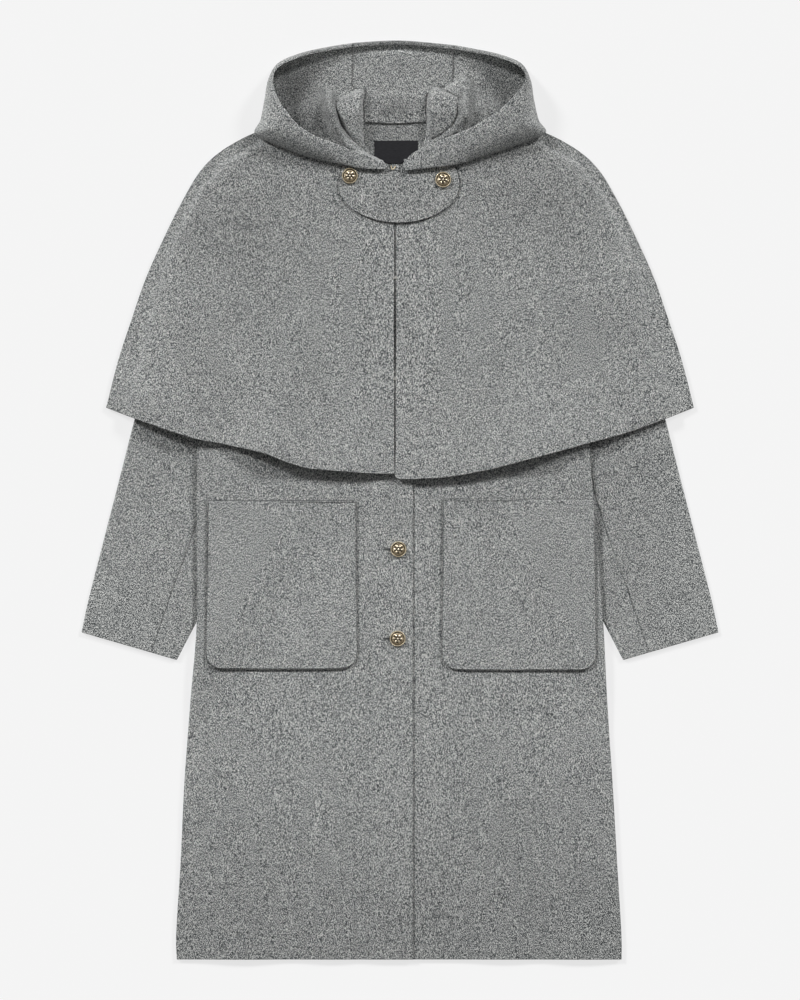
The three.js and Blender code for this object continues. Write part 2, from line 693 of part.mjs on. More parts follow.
function makePocket(side) {
  const { x0, x1, y0, y1 } = POCKETS[sideName(side)];
  const corner = (cx, from) =>
    even(4).map((share) => {
      const angle = from + (share * Math.PI) / 2;
      const x = cx + POCKET_CORNER * Math.cos(angle);
      return { x, y: y0 + POCKET_CORNER + POCKET_CORNER * Math.sin(angle) };
    });
  const round = [
    ...corner(x0 + POCKET_CORNER, Math.PI),
    ...corner(x1 - POCKET_CORNER, Math.PI * 1.5),
  ];
  const edges = {
    top: smoothLine([{ x: x0, y: y1 }, { x: x1, y: y1 }]),
    bottom: smoothLine(round),
    left: smoothLine([{ x: x0, y: y1 }, round[0]]),
    right: smoothLine([{ x: x1, y: y1 }, round.at(-1)]),
  };
  const us = [0, 0.035, 0.08, 0.16, 0.3, 0.44, 0.58, 0.72, 0.84, 0.92, 0.965, 1];
  const floor = (x, y) => underPocket(x, y, side);
  layPanel(`pocket_${sideName(side)}`, edges, us, even(7), floor);
}

function makeTab() {
  const { x, top, middle, halfWidth, drop, shoulder } = TAB;
  const onEllipse = (degrees) => {
    const angle = THREE.MathUtils.degToRad(degrees);
    return { x: x + halfWidth * Math.cos(angle), y: middle + drop * Math.sin(angle) };
  };
  const bottom = [210, 225, 240, 255, 270, 285, 300, 315, 330].map(onEllipse);
  const edges = {
    top: smoothLine([{ x: x - shoulder, y: top }, { x: x + shoulder, y: top }]),
    bottom: smoothLine(bottom),
    left: smoothLine([{ x: x - shoulder, y: top }, onEllipse(180), onEllipse(195), bottom[0]]),
    right: smoothLine([{ x: x + shoulder, y: top }, onEllipse(0), onEllipse(345), bottom.at(-1)]),
  };
  layPanel("throat_tab", edges, even(14), even(5), onCape);
}

// Hood

// The folds die out at the seams of the centre strip.
function foldHeight(x, y) {
  const { outX, outY, neckX, neckY } = (x < 0 ? HOOD_RIGHT : HOOD_LEFT).at(-1);
  const up = clamp((y - neckY) / (outY - neckY), 0, 1);
  const bow = SEAM_BOW[sideName(x)].x * 4 * up * (1 - up);
  const seamX = lerp(neckX, outX, (y - neckY) / (outY - neckY)) + bow;
  const atSeam = smoothstep((x - seamX) * Math.sign(x), SEAM_FLAT.from, SEAM_FLAT.to);
  return atSeam * HOOD_FOLDS.reduce((highest, { crest, fall }) => {
    let best = 0;
    for (let i = 0; i < crest.length - 1; i++) {
      const [a, b] = [crest[i], crest[i + 1]];
      const [dx, dy] = [b.x - a.x, b.y - a.y];
      const share = clamp(((x - a.x) * dx + (y - a.y) * dy) / (dx * dx + dy * dy), 0, 1);
      const onLeft = dx * (y - a.y) - dy * (x - a.x) > 0;
      const reach = onLeft ? fall.left : fall.right;
      const away = Math.hypot(x - a.x - share * dx, y - a.y - share * dy) / reach;
      best = Math.max(best, lerp(a.height, b.height, share) * Math.exp(-away * away));
    }
    return Math.max(highest, best);
  }, 0);
}

// One section of the hood, from its rim over the outer edge and back inside to the neck.
function hoodSection({ row, bow }) {
  const { outX, outY, rimX, rimY, rimZ, neckX, neckY } = row;
  const floorZ = underHood(outX, outY);
  const out = new THREE.Vector3(outX, outY, floorZ + HOOD_TURN);
  const rim = new THREE.Vector3(rimX, rimY, rimZ);
  const above = new THREE.Vector3(lerp(outX, rimX, 0.25), lerp(outY, rimY, 0.25), rimZ + 1);
  const lip = new THREE.QuadraticBezierCurve3(rim, above, out);
  const inward = new THREE.Vector3(neckX - outX, neckY - outY, 0).normalize();
  const floorAt = (x, y) => new THREE.Vector3(x, y, underHood(x, y) + foldHeight(x, y));
  const start = out.clone().addScaledVector(inward, HOOD_TURN * 1.3);
  const below = new THREE.Vector3(outX, outY, floorZ);
  const turn = new THREE.QuadraticBezierCurve3(out, below, floorAt(start.x, start.y));
  const inside = [0.12, 0.24, 0.36, 0.46, 0.55, 0.63, 0.7, 0.77, 0.84, 0.9, 0.95, 1];
  return [
    ...[0, 0.25, 0.5, 0.75, 1].map((share) => lip.getPoint(share)),
    ...[0.5, 1].map((share) => turn.getPoint(share)),
    ...inside.map((share) => {
      const out = 4 * share * (1 - share);
      const x = lerp(start.x, neckX, share) + bow.x * out;
      return floorAt(x, lerp(start.y, neckY, share) + bow.y * out);
    }),
  ];
}

// Sections at places between the rows of a table, with smooth steps from row to row.
function hoodGrid(rows, places, bowAt, apart = { first: 0, last: 0 }) {
  const columns = Object.keys(rows[0]);
  const sections = places.map((place) => {
    const i = Math.min(Math.floor(place), rows.length - 2);
    const t = place - i;
    const row = {};
    for (const column of columns) {
      const [a, b, c, d] = [i - 1, i, i + 1, i + 2].map(
        (k) => rows[clamp(k, 0, rows.length - 1)][column],
      );
      const bend = (2 * a - 5 * b + 4 * c - d) * t * t + (3 * b - a - 3 * c + d) * t * t * t;
      row[column] = b + 0.5 * ((c - a) * t + bend);
    }
    return row;
  });
  sections[0].outX += apart.first;
  sections[0].rimX += apart.first;
  sections[0].neckX += apart.first;
  sections.at(-1).outX += apart.last;
  sections.at(-1).rimX += apart.last;
  sections.at(-1).neckX += apart.last;
  return sections.map((row, i) => hoodSection({ row, bow: bowAt(places[i]) }));
}

function makeHood() {
  const topRow = (rows) => rows.at(-1);
  const strip = [topRow(HOOD_RIGHT), HOOD_CENTER, topRow(HOOD_LEFT)];
  const last = HOOD_RIGHT.length - 1;
  const nearSeam = 0.12; // a section just beside the seam keeps the cloth flat there
  const up = [...even(2 * last).map((share) => share * last).slice(0, -1), last - nearSeam, last];
  const down = up.map((place) => last - place).reverse();
  const across = even(8).map((share) => share * 2);
  const part = ({ x, y }, weight) => ({ x: x * weight, y: y * weight });
  const nearRight = (place) => part(SEAM_BOW.right, (place / last) ** SEAM_PULL);
  const nearLeft = (place) => part(SEAM_BOW.left, (1 - place / last) ** SEAM_PULL);
  const between = (place) => ({
    x: lerp(SEAM_BOW.right.x, SEAM_BOW.left.x, place / 2),
    y: lerp(SEAM_BOW.right.y, SEAM_BOW.left.y, place / 2),
  });
  const seams = { first: SEAM, last: -SEAM };
  add("hood_side_right", clothWall(hoodGrid(HOOD_RIGHT, up, nearRight)), WOOL);
  add("hood_center", clothWall(hoodGrid(strip, across, between, seams)), WOOL);
  add("hood_side_left", clothWall(hoodGrid([...HOOD_LEFT].reverse(), down, nearLeft)), WOOL);
}

// Trim

function makeButton(name, { x, y }, seatZ) {
  const profile = BUTTON_PROFILE.map(
    ({ out, up }) => new THREE.Vector2(out * BUTTON_RADIUS, up * BUTTON_HEIGHT),
  );
  const geometry = new THREE.LatheGeometry(profile, BUTTON_SIDES);
  geometry.rotateX(Math.PI / 2);
  geometry.translate(x, y, seatZ + GAP);
  add(name, geometry, GILT);
}

function makeButtons() {
  for (const [name, place] of Object.entries(BUTTONS)) {
    const floor = name.startsWith("tab") ? onCape : underRightFront;
    const seats = [-BUTTON_RADIUS, BUTTON_RADIUS].map((dx) => floor(place.x + dx, place.y));
    makeButton(name, place, Math.max(...seats) + CLOTH);
  }
}

function makeLabel() {
  const { x, top, width, height, thickness } = LABEL;
  const [x0, x1] = [x - width / 2, x + width / 2];
  const bottom = top - height;
  const edges = {
    top: smoothLine([{ x: x0, y: top }, { x: x1, y: top }]),
    bottom: smoothLine([{ x: x0, y: bottom }, { x: x1, y: bottom }]),
    left: smoothLine([{ x: x0, y: top }, { x: x0, y: bottom }]),
    right: smoothLine([{ x: x1, y: top }, { x: x1, y: bottom }]),
  };
  layPanel("neck_label", edges, even(2), even(2), () => 2 * LEVEL, thickness, BLACK_SATIN);
}

function makeHook() {
  const { x, y, width, length, wire } = HOOK;
  const z = onCape(x, y) + LEVEL + wire;
  const route = [
    [-width / 2, length / 2],
    [-width / 2, -length / 4],
    [0, -length / 2],
    [width / 2, -length / 4],
    [width / 2, length / 4],
  ].map(([dx, dy]) => new THREE.Vector3(x + dx, y + dy, z));
  const section = new THREE.Shape().absarc(0, 0, wire, 0, 2 * Math.PI);
  const geometry = new THREE.ExtrudeGeometry(section, {
    extrudePath: new THREE.CatmullRomCurve3(route),
    steps: 12,
    curveSegments: 3,
    bevelEnabled: false,
  });
  add("neck_hook", geometry, GILT);
}

makeCapeBack();
makeCoatBack();
for (const side of [-1, 1]) {
  makeSleeve(side);
  makeCoatFront(side);
  makePocket(side);
  makeCapeFront(side);
}
makeTab();
makeHood();
makeLabel();
makeHook();
makeButtons();

export default coat;
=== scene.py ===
"""The looks of a hooded wool coat with an elbow-length cape, laid flat with its front up.

Metres. X runs to the wearer's left, Y towards the hood, Z up from the surface it lies on.
Right and left are the wearer's, so the right side has negative X and side -1.
"""

import math

import bpy
import numpy as np
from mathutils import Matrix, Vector


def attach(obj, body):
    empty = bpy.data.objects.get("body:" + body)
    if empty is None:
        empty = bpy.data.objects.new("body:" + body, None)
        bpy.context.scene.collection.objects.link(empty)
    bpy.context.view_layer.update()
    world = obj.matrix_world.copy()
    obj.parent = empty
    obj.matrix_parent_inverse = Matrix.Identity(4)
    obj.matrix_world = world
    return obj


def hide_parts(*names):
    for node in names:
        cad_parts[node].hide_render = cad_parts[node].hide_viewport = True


# Cloth
CLOTH = 0.0022  # thickness of the brushed double-face wool
GAP = 0.0004  # between one layer of cloth and the next
LEVEL = CLOTH + GAP
SEAM = 0.00035  # between two pieces sewn edge to edge
EASE = 0.0003  # extra air between the layers of the coat's body
ARMHOLE_SEAM = 0.0008
MARGIN = 0.012  # how far past an edge the cloth on top of it stays raised
CAPE_EASE = 0.0016  # air between the coat and the loose cape
FINE = 0.0042  # spacing of the points of a shell
EDGE_STEPS = (0, 0.0013, 0.0026, 0.004, 0.0052, 0.0064, 0.0082)  # closer points by an edge
STITCH_INSET = 0.0052  # the hand-sewn edge seam lies this far inside each edge
STITCH_DEPTH = 0.00015
STITCH_HALF_WIDTH = 0.0011
EDGE_TAPER = 0.4  # how far an edge tapers, in walls
SOFT_EDGES = {"pocket_right": 1.2, "pocket_left": 1.0}

SLEEVES = [f"sleeve_{side}_{part}" for side in ("right", "left") for part in ("upper", "under")]

# Painted shade on the edges of each piece: how light they look beside its face
EDGE_SHADE = 0.55
PAINTED_EDGE_SHADE = {
    "throat_tab": 0.14,
    "pocket_right": 0.75,
    "pocket_left": 0.75,
    "coat_front_right": 0.80,
    **dict.fromkeys(SLEEVES, 0.80),
}
# Painted highlight along the free edges of the hood, such as its rim
HOOD_EDGE_HIGHLIGHT = 1.15
# Painted shadow in the seams of the hood
HOOD_SEAM_SHADE = 0.25

# Neck
NECK_Y = 0.497
NECK_HALF_WIDTH = 0.098
NECK_DROP = 0.071
BACK_NECK_DIP = 0.005

# Cape
CAPE_HALF_WIDTH = 0.382
CAPE_CENTRE_X = -0.0065
CAPE_SIDE = [  # x, y
    (0.098, 0.497), (0.150, 0.489), (0.194, 0.475), (0.237, 0.450), (0.259, 0.428),
    (0.282, 0.390), (0.308, 0.338), (0.331, 0.286), (0.349, 0.234), (0.366, 0.182),
    (0.382, 0.120),
]
CAPE_HEM = {  # height at the centre, rise to the corners, how sharply it rises
    "right": (0.0342, 0.0858, 1.8),
    "left": (0.0268, 0.0922, 1.65),
    "back": (0.046, 0.076, 1.75),
}
CAPE_HEM_LIFT = [  # x, how high the front hem stands off the coat there
    (-0.382, 0), (-0.360, 0.002), (-0.335, 0.008), (-0.300, 0.011), (-0.262, 0.009),
    (-0.235, 0.002), (-0.205, 0.007), (-0.160, 0.015), (-0.110, 0.010), (-0.060, 0.007),
    (-0.007, 0.003), (0.060, 0.005), (0.120, 0.010), (0.180, 0.012), (0.245, 0.005),
    (0.290, 0.004), (0.340, 0.001), (0.382, 0),
]
LIFT_REACH = 0.130
HEM_WAVES = [  # x, how far the front hem strays up from its smooth curve there
    (-0.264, 0), (-0.236, 0.0034), (-0.200, 0.0050), (-0.172, 0.0044), (-0.146, -0.0013),
    (-0.120, -0.0043), (-0.075, -0.0020), (-0.020, -0.0012), (0, 0), (0.060, -0.0022),
    (0.120, -0.0011), (0.164, 0.0014), (0.209, 0.0021), (0.248, 0.0016), (0.300, -0.0010),
    (0.382, 0),
]
CAPE_EDGE = [  # y, how far each front edge stands back from the centre there
    (0.400, 0.0002), (0.290, 0.0004), (0.222, 0.0010), (0.155, 0.0004), (0.070, 0.0005),
]
HEM_CORNER = [  # how the lower corner of the left front is rounded: step out, rise
    (0, 0.0048), (0.0012, 0.0026), (0.0028, 0.0012), (0.0055, 0.0003),
]

# Coat
HEM_Y = -0.597
SHOULDER = (0.222, 0.426)
ARMHOLE_HOLLOW = 0.005
UNDERARM_Y = 0.250
COAT_SIDE = [  # y, half width on the right, half width on the left
    (0.250, 0.262, 0.244),
    (0.225, 0.262, 0.244),
    (0.190, 0.262, 0.244),
    (0.074, 0.263, 0.246),
    (-0.039, 0.264, 0.255),
    (-0.160, 0.264, 0.264),
    (-0.260, 0.272, 0.269),
    (-0.364, 0.280, 0.276),
    (-0.468, 0.285, 0.282),
    (-0.572, 0.291, 0.288),
    (-0.597, 0.290, 0.288),
]
TOP_EDGE_X = 0.017
UNDER_EDGE_X = -0.022

# Sleeves
SLEEVE_OUTER = [  # x, y
    (0.246, 0.402), (0.271, 0.355), (0.292, 0.300), (0.308, 0.240), (0.324, 0.180),
    (0.345, 0.104), (0.365, 0.026), (0.385, -0.052), (0.405, -0.130), (0.414, -0.172),
]
SLEEVE_INNER = [  # x, y of the edge that is tucked under the body
    (0.232, 0.165), (0.190, 0.110), (0.174, 0.050), (0.185, -0.010), (0.215, -0.070),
    (0.245, -0.122), (0.265, -0.160), (0.290, -0.208),
]
TUCK_TOP_Y = 0.200
SLOPE_EASE = 0.001
TUCK_SPREAD = 0.090
SLEEVE_LENGTH = 0.62
SLEEVE_FOLD = 0.016  # how far the round fold along an edge reaches, as a share of the width
UNDERARM_SHARE = 0.33
UNDERARM_BULGE = (0.0025, 0.012)  # out and down from the underarm point
UNDERARM_FAN = 1.8
SEAM_SHARE_TOP = 0.52
SEAM_SHARE_CUFF = 0.73
BACK_SEAM_SHARE = 0.3
SEAM_SHARE_GAP = 0.002  # on each side of the back seam
TOP_SEAM_SHARE_GAP = 0.0018

# Patch pockets: left, right, lower and upper edge
POCKETS = {
    "right": (-0.251, -0.056, -0.220, -0.001),
    "left": (0.055, 0.254, -0.221, 0.001),
}
POCKET_CORNER = 0.019

# Throat tab
TAB_X = -0.0015
TAB_TOP = 0.434
TAB_MIDDLE = 0.412
TAB_HALF_WIDTH = 0.0795
TAB_DROP = 0.053
TAB_SHOULDER = 0.074

# Buttons and trim
BUTTON_RADIUS = 0.0102
BUTTON_HEIGHT = 0.0044
BUTTON_RINGS = 44
BUTTON_TURNS = 96
BUTTON_RELIEF = [  # radius, half width, height, how often it swells in a turn, angle
    (0.925, 0.048, 0.36, 0, 0),  # raised rim
    (0.82, 0.035, -0.18, 0, 0),  # groove
    (0.68, 0.04, 0.07, 24, 0),  # rope ring
    (0.42, 0.14, 0.13, 6, 0.4),  # leaves
    (0, 0.12, 0.24, 0, 0),  # boss
    (0.21, 0.05, -0.20, 0, 0),  # ring round the boss
]
COAT_BUTTONS = {"coat_button_upper": (-0.002, -0.064), "coat_button_lower": (-0.003, -0.180)}
TAB_BUTTONS = {"tab_button_right": (-0.065, 0.4205), "tab_button_left": (0.056, 0.4155)}
LABEL_X = -0.005
LABEL_TOP = 0.467
LABEL_WIDTH = 0.057
LABEL_HEIGHT = 0.030
LABEL_THICKNESS = 0.0006
LABEL_POINTS = 40

HOOK_WIRE = 0.0006
HOOK_ROUTE = [
    (-0.0118, 0.4336), (-0.0107, 0.4305), (-0.0095, 0.4285), (-0.0078, 0.4300),
    (-0.0058, 0.4328),
]
THREAD = 0.0005
BUTTONHOLE = (-0.0195, -0.0065)  # from the button's centre to the two ends of the slit
BUTTONHOLE_HALF_WIDTH = 0.0011
BUTTONHOLE_TURNS = 32
# The buttonhole's slit is a dark sheet, a painted shadow
SLIT_RISE = 0.0001  # the dark slit lies this far over the cloth
SLIT_TACKS = {"slit_tack_upper": 0.2885, "slit_tack_lower": 0.1575}
TACK_HALF_LENGTH = 0.0026
TACK_POINTS = 7
# A dark line along each pocket's mouth, a painted shadow
POCKET_LINE_INSET = 0.002
MOUTH_SHADOW = 0.00035
MOUTH_POINTS = 60

# Hood: the outer edge, the rim with its height and the end at the neck, from the throat up
HOOD_RIGHT = [  # out x, out y, rim x, rim y, rim z, neck x, neck y
    (-0.020, 0.429, -0.015, 0.432, 0.022, -0.013, 0.435),
    (-0.050, 0.430, -0.037, 0.444, 0.024, -0.027, 0.441),
    (-0.085, 0.437, -0.062, 0.453, 0.028, -0.036, 0.448),
    (-0.120, 0.445, -0.088, 0.463, 0.033, -0.044, 0.456),
    (-0.155, 0.458, -0.112, 0.472, 0.038, -0.048, 0.464),
    (-0.188, 0.475, -0.134, 0.487, 0.043, -0.049, 0.472),
    (-0.181, 0.494, -0.147, 0.503, 0.045, -0.049, 0.4755),
    (-0.176, 0.521, -0.157, 0.519, 0.044, -0.049, 0.479),
    (-0.171, 0.547, -0.164, 0.542, 0.040, -0.0486, 0.482),
    (-0.158, 0.568, -0.156, 0.561, 0.029, -0.048, 0.4845),
    (-0.128, 0.581, -0.126, 0.575, 0.020, -0.0474, 0.487),
    (-0.092, 0.589, -0.091, 0.583, 0.013, -0.0467, 0.489),
    (-0.061, 0.594, -0.061, 0.588, 0.010, -0.046, 0.491),
]
HOOD_LEFT = [
    (0.006, 0.427, 0.002, 0.435, 0.022, 0.005, 0.440),
    (0.035, 0.430, 0.017, 0.450, 0.024, 0.018, 0.448),
    (0.070, 0.434, 0.041, 0.461, 0.028, 0.026, 0.456),
    (0.105, 0.444, 0.068, 0.472, 0.033, 0.031, 0.463),
    (0.143, 0.457, 0.094, 0.483, 0.038, 0.033, 0.470),
    (0.188, 0.475, 0.122, 0.500, 0.043, 0.034, 0.477),
    (0.180, 0.494, 0.139, 0.514, 0.045, 0.0346, 0.4795),
    (0.174, 0.521, 0.152, 0.528, 0.044, 0.035, 0.482),
    (0.170, 0.545, 0.162, 0.544, 0.040, 0.035, 0.4842),
    (0.158, 0.567, 0.156, 0.560, 0.029, 0.035, 0.4862),
    (0.130, 0.579, 0.128, 0.573, 0.020, 0.0348, 0.488),
    (0.098, 0.586, 0.097, 0.580, 0.013, 0.0345, 0.4898),
    (0.071, 0.591, 0.070, 0.585, 0.010, 0.034, 0.4916),
]
HOOD_TOP = (0, 0.597, 0, 0.591, 0.008, -0.006, 0.489)
HOOD_TURN = 0.005  # how far the outer edge stands up from what it lies on
RIM_ROLL = 0.25  # where the outer face bulges, as a share of the way from its edge to the rim
RIM_SHARES = (0, 0.02, 0.045, 0.07, 0.1)  # closer points by the rim
BAND_POINTS = 19  # on the outer face, from the rim to the outer edge
TURN_POINTS = 6  # round the outer edge
HOOD_INNER_POINTS = 100  # inside, down to the neck
HOOD_SECTIONS = 170  # of a side panel
HOOD_STRIP_SECTIONS = 90  # of the centre strip
HOOD_SEAM_STEPS = (0, 0.04, 0.1, 0.18)  # closer sections by a seam, in rows of the tables
HOOD_SEAM = 0.0001  # how far the centre strip stands back from each side panel

# How far the seams of the centre strip stray from a straight line, from the top down to the neck
SEAM_SHIFT = {  # share of the way down, shift in x
    "right": [
        (0, 0), (0.25, -0.0045), (0.50, -0.0095), (0.545, -0.0060), (0.59, 0.0075),
        (0.68, 0.0035), (0.78, 0.0005), (1, 0),
    ],
    "left": [
        (0, 0), (0.25, 0.0090), (0.44, 0.0155), (0.49, 0.0110), (0.545, -0.0050),
        (0.61, -0.0120), (0.78, -0.0070), (1, 0),
    ],
}

# Ridges that stand up inside the hood: how far each falls away on the left and the right of
# its crest, seen along it, then the crest with its height at each point
HOOD_RIDGES = [
    (  # outside the right lobe
        0.0048,
        0.008,
        [
            (-0.094, 0.533, 0.006), (-0.092, 0.519, 0.016), (-0.090, 0.505, 0.020),
            (-0.082, 0.484, 0.019), (-0.065, 0.463, 0.014), (-0.044, 0.447, 0.005),
        ],
    ),
    (  # outside the left lobe
        0.008,
        0.01,
        [
            (0.085, 0.540, 0.010), (0.085, 0.530, 0.016), (0.083, 0.514, 0.019),
            (0.083, 0.498, 0.017), (0.074, 0.482, 0.012), (0.042, 0.463, 0.004),
        ],
    ),
]
# Lobes that lie folded inside the hood: the outline of each, then its height down its length
HOOD_LOBES = [
    (  # right lobe
        [
            (-0.0845, 0.5115), (-0.0754, 0.5220), (-0.0637, 0.5278), (-0.0559, 0.5317),
            (-0.0429, 0.5350), (-0.0455, 0.5260), (-0.0490, 0.5140), (-0.0500, 0.4930),
            (-0.0505, 0.4800), (-0.0470, 0.4640), (-0.0330, 0.4470), (-0.0430, 0.4480),
            (-0.0598, 0.4628), (-0.0702, 0.4758), (-0.0780, 0.4914), (-0.0832, 0.5050),
        ],
        [(0.445, 0.002), (0.460, 0.008), (0.480, 0.014), (0.500, 0.017), (0.536, 0.013)],
    ),
    (  # left lobe
        [
            (0.0400, 0.5340), (0.0468, 0.5369), (0.0619, 0.5300), (0.0785, 0.5215),
            (0.0775, 0.4979), (0.0690, 0.4836), (0.0533, 0.4720), (0.0400, 0.4650),
            (0.0365, 0.4780), (0.0370, 0.4950), (0.0365, 0.5200),
        ],
        [(0.462, 0.004), (0.478, 0.009), (0.500, 0.013), (0.520, 0.015), (0.538, 0.013)],
    ),
    (  # small lobe above the left one
        [
            (0.0560, 0.5330), (0.0650, 0.5400), (0.0728, 0.5447), (0.0845, 0.5447),
            (0.0890, 0.5380), (0.0850, 0.5200), (0.0740, 0.5100), (0.0600, 0.5150),
        ],
        [(0.520, 0.009), (0.530, 0.008), (0.545, 0.006)],
    ),
]
LOBE_EDGE = 0.005  # how wide the steep edge of a lobe is
CREASE_DEPTH = 0.0012
# Creases inside the hood, with painted shade along each
HOOD_CREASES = [  # half width, how much darker, then the points of the crease
    (0.0013, 0.50, [(0.0468, 0.5353), (0.0611, 0.5294), (0.0797, 0.5207)]),
    (0.0012, 0.50, [(0.0797, 0.5207), (0.0828, 0.5324)]),
    (0.0020, 0.45, [(0.0871, 0.5499), (0.0943, 0.5408)]),
    (0.0013, 0.38, [(0.0702, 0.5876), (0.0696, 0.5460)]),
    (0.0013, 0.25, [(-0.0610, 0.5850), (-0.0624, 0.5395)]),
    (0.0016, 0.50, [(-0.0855, 0.5180), (-0.0825, 0.5096)]),
    (0.0012, 0.40, [(-0.0416, 0.5356), (-0.0468, 0.5200), (-0.0481, 0.4966)]),
]

# Soft folds of the cape and the coat: how far each falls away on the left and the right of its
# crest, then the crest with its height at each point
CAPE_FOLDS = [
    (0.034, 0.034, [(-0.250, 0.430, 0), (-0.285, 0.300, 0.003), (-0.330, 0.130, 0.004)]),
    (0.030, 0.030, [(-0.120, 0.330, 0), (-0.150, 0.200, 0.002), (-0.165, 0.060, 0.004)]),
    (0.026, 0.026, [(0.110, 0.320, 0), (0.150, 0.190, 0.002), (0.172, 0.060, 0.004)]),
    (0.032, 0.032, [(0.250, 0.420, 0), (0.290, 0.290, 0.003), (0.335, 0.130, 0.003)]),
]
COAT_FOLDS = [
    (0.040, 0.040, [(-0.230, -0.240, 0), (-0.215, -0.400, 0.002), (-0.205, -0.600, 0.004)]),
    (0.030, 0.030, [(-0.110, -0.260, 0), (-0.100, -0.420, 0.0015), (-0.090, -0.600, 0.003)]),
    (0.036, 0.036, [(0.120, -0.260, 0), (0.130, -0.420, 0.002), (0.135, -0.600, 0.003)]),
    (0.040, 0.040, [(0.235, -0.240, 0), (0.240, -0.400, 0.002), (0.235, -0.600, 0.004)]),
]

# What each piece of cloth lies on
RESTS_ON = {
    "cape_back": [],
    "coat_back": ["cape_back", "sleeve_right_upper", "sleeve_left_upper"],
    "throat_tab": ["cape_front_right", "cape_front_left"],
    "hood_center": ["coat_back"],
    "neck_label": ["coat_back"],
    "coat_front_right": ["coat_front_left", "coat_back"],
    "coat_front_left": ["coat_back"],
}
for side in ("right", "left"):
    RESTS_ON |= {
        f"sleeve_{side}_upper": [f"sleeve_{side}_under", "cape_back"],
        f"sleeve_{side}_under": ["cape_back"],
        f"pocket_{side}": [f"coat_front_{side}"],
        f"cape_front_{side}": [f"coat_front_{side}", f"sleeve_{side}_upper"],
        f"hood_side_{side}": [f"cape_front_{side}", "coat_back"],
    }

# Camera and light
PHOTO_HEIGHT = 1.300  # what the photo's height covers on the surface
CAMERA_HEIGHT = 8.0
SENSOR = 36.0
LAMPS = {  # direction from the coat towards the lamp, strength
    "left_lamp": ((-1.0, 0.95, 0.86), 2.66),
    "right_lamp": ((1.0, 1.00, 0.86), 2.11),
}
LAMP_SPREAD = 11  # degrees
FLOOR_REACH = 6.0
FLOOR_DROP = 0.0002  # under the coat's back
FLOOR_COLOUR = (0.16, 0.16, 0.16)
FLOOR_GLOW = 0.732  # the backdrop is lit from below, so that shadows on it stay faint
WORLD_STRENGTH = 0.20

# Painted shade on the wool, or painted light where the amount is negative: x and y of the centre,
# reach in x and y, amount
PAINTED_SHADE_PATCHES = {
    "hood_side_right": [
        (-0.124, 0.506, 0.046, 0.052, 0.52),
        (-0.150, 0.548, 0.030, 0.030, 0.20),
    ],
    "hood_center": [
        (-0.008, 0.510, 0.038, 0.018, 0.42),
        (0, 0.560, 0.060, 0.020, 0.08),
    ],
    "hood_side_left": [
        (0.118, 0.506, 0.038, 0.046, 0.37),
        (0.140, 0.545, 0.035, 0.026, 0.10),
        (0.060, 0.500, 0.020, 0.040, 0.08),
    ],
    "coat_back": [(-0.008, 0.480, 0.050, 0.020, 0.30)],
    "throat_tab": [(0, 0.395, 0.090, 0.050, 0.10)],
    "cape_front_right": [
        (-0.200, 0.350, 0.100, 0.110, 0.15),
        (-0.150, 0.100, 0.060, 0.080, 0.12),
        (-0.255, 0.130, 0.050, 0.060, 0.09),
    ],
    "cape_front_left": [
        (0.165, 0.400, 0.090, 0.060, 0.20),
        (0.125, 0.090, 0.060, 0.060, 0.09),
        (0.220, 0.270, 0.060, 0.080, 0.08),
    ],
    "sleeve_left_upper": [(0.300, -0.050, 0.060, 0.160, 0.10)],
    "sleeve_left_under": [(0.260, -0.050, 0.060, 0.160, 0.10)],
    "coat_front_left": [(0.140, -0.400, 0.120, 0.260, 0.05)],
    "pocket_right": [(-0.150, -0.110, 0.120, 0.120, -0.06)],
}
# Painted shade, and painted light where the amount is negative, on the outer face of the hood
BAND_SHADE_PATCHES = {  # the same for the outer face of the hood
    "hood_side_right": [
        (-0.135, 0.468, 0.070, 0.028, -0.18),
        (-0.175, 0.510, 0.022, 0.050, -0.12),
        (-0.110, 0.585, 0.080, 0.014, 0.42),
        (-0.160, 0.555, 0.020, 0.016, 0.16),
    ],
    "hood_center": [(0, 0.594, 0.140, 0.012, 0.54)],
    "hood_side_left": [
        (0.130, 0.468, 0.070, 0.028, -0.12),
        (0.175, 0.510, 0.022, 0.050, 0.10),
        (0.110, 0.582, 0.080, 0.014, 0.44),
        (0.158, 0.556, 0.020, 0.020, 0.28),
    ],
}
# Painted shadow along the outermost lines of a face
EDGE_LINE_SHADOWS = {"throat_tab": 0.35}  # how light the outermost line of the face is
# Painted shadow where the outer face meets the cape, and painted light just under the rim against
# its cast shadow: y where it starts, y where it is full, amount, how many points of a section it
# spans
BAND_FOOT_SHADOW = (0.520, 0.490, 0.55, 1.6)
UNDER_RIM_LIGHT = (0.540, 0.575, 0.9, 7.5)
# Painted shade: the coat darker towards its hem
HEM_SHADE = (-0.280, -0.620, 0.22)  # y where the coat starts to look darker, y at the end, amount

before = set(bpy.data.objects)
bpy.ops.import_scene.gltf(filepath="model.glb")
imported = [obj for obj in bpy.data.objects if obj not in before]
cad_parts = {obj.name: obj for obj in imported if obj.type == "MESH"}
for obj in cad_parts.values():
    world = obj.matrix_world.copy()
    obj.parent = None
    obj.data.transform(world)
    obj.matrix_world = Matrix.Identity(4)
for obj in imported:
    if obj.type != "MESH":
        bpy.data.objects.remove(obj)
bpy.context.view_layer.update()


# Lines, tables and surfaces


def ease(value, low, high):
    """A smooth step from 0 at low to 1 at high."""
    t = np.clip((value - low) / (high - low), 0, 1)
    return t * t * (3 - 2 * t)


def raised(distance, slope, margin=MARGIN):
    """1 inside an edge and a margin past it, then a soft slope to 0. Inside is positive."""
    return ease(distance, -margin - slope, -margin)


def read(rows, at, column=1):
    """A value from a table whose first column rises or falls."""
    table = np.array(sorted(rows), float)
    return np.interp(at, table[:, 0], table[:, column])


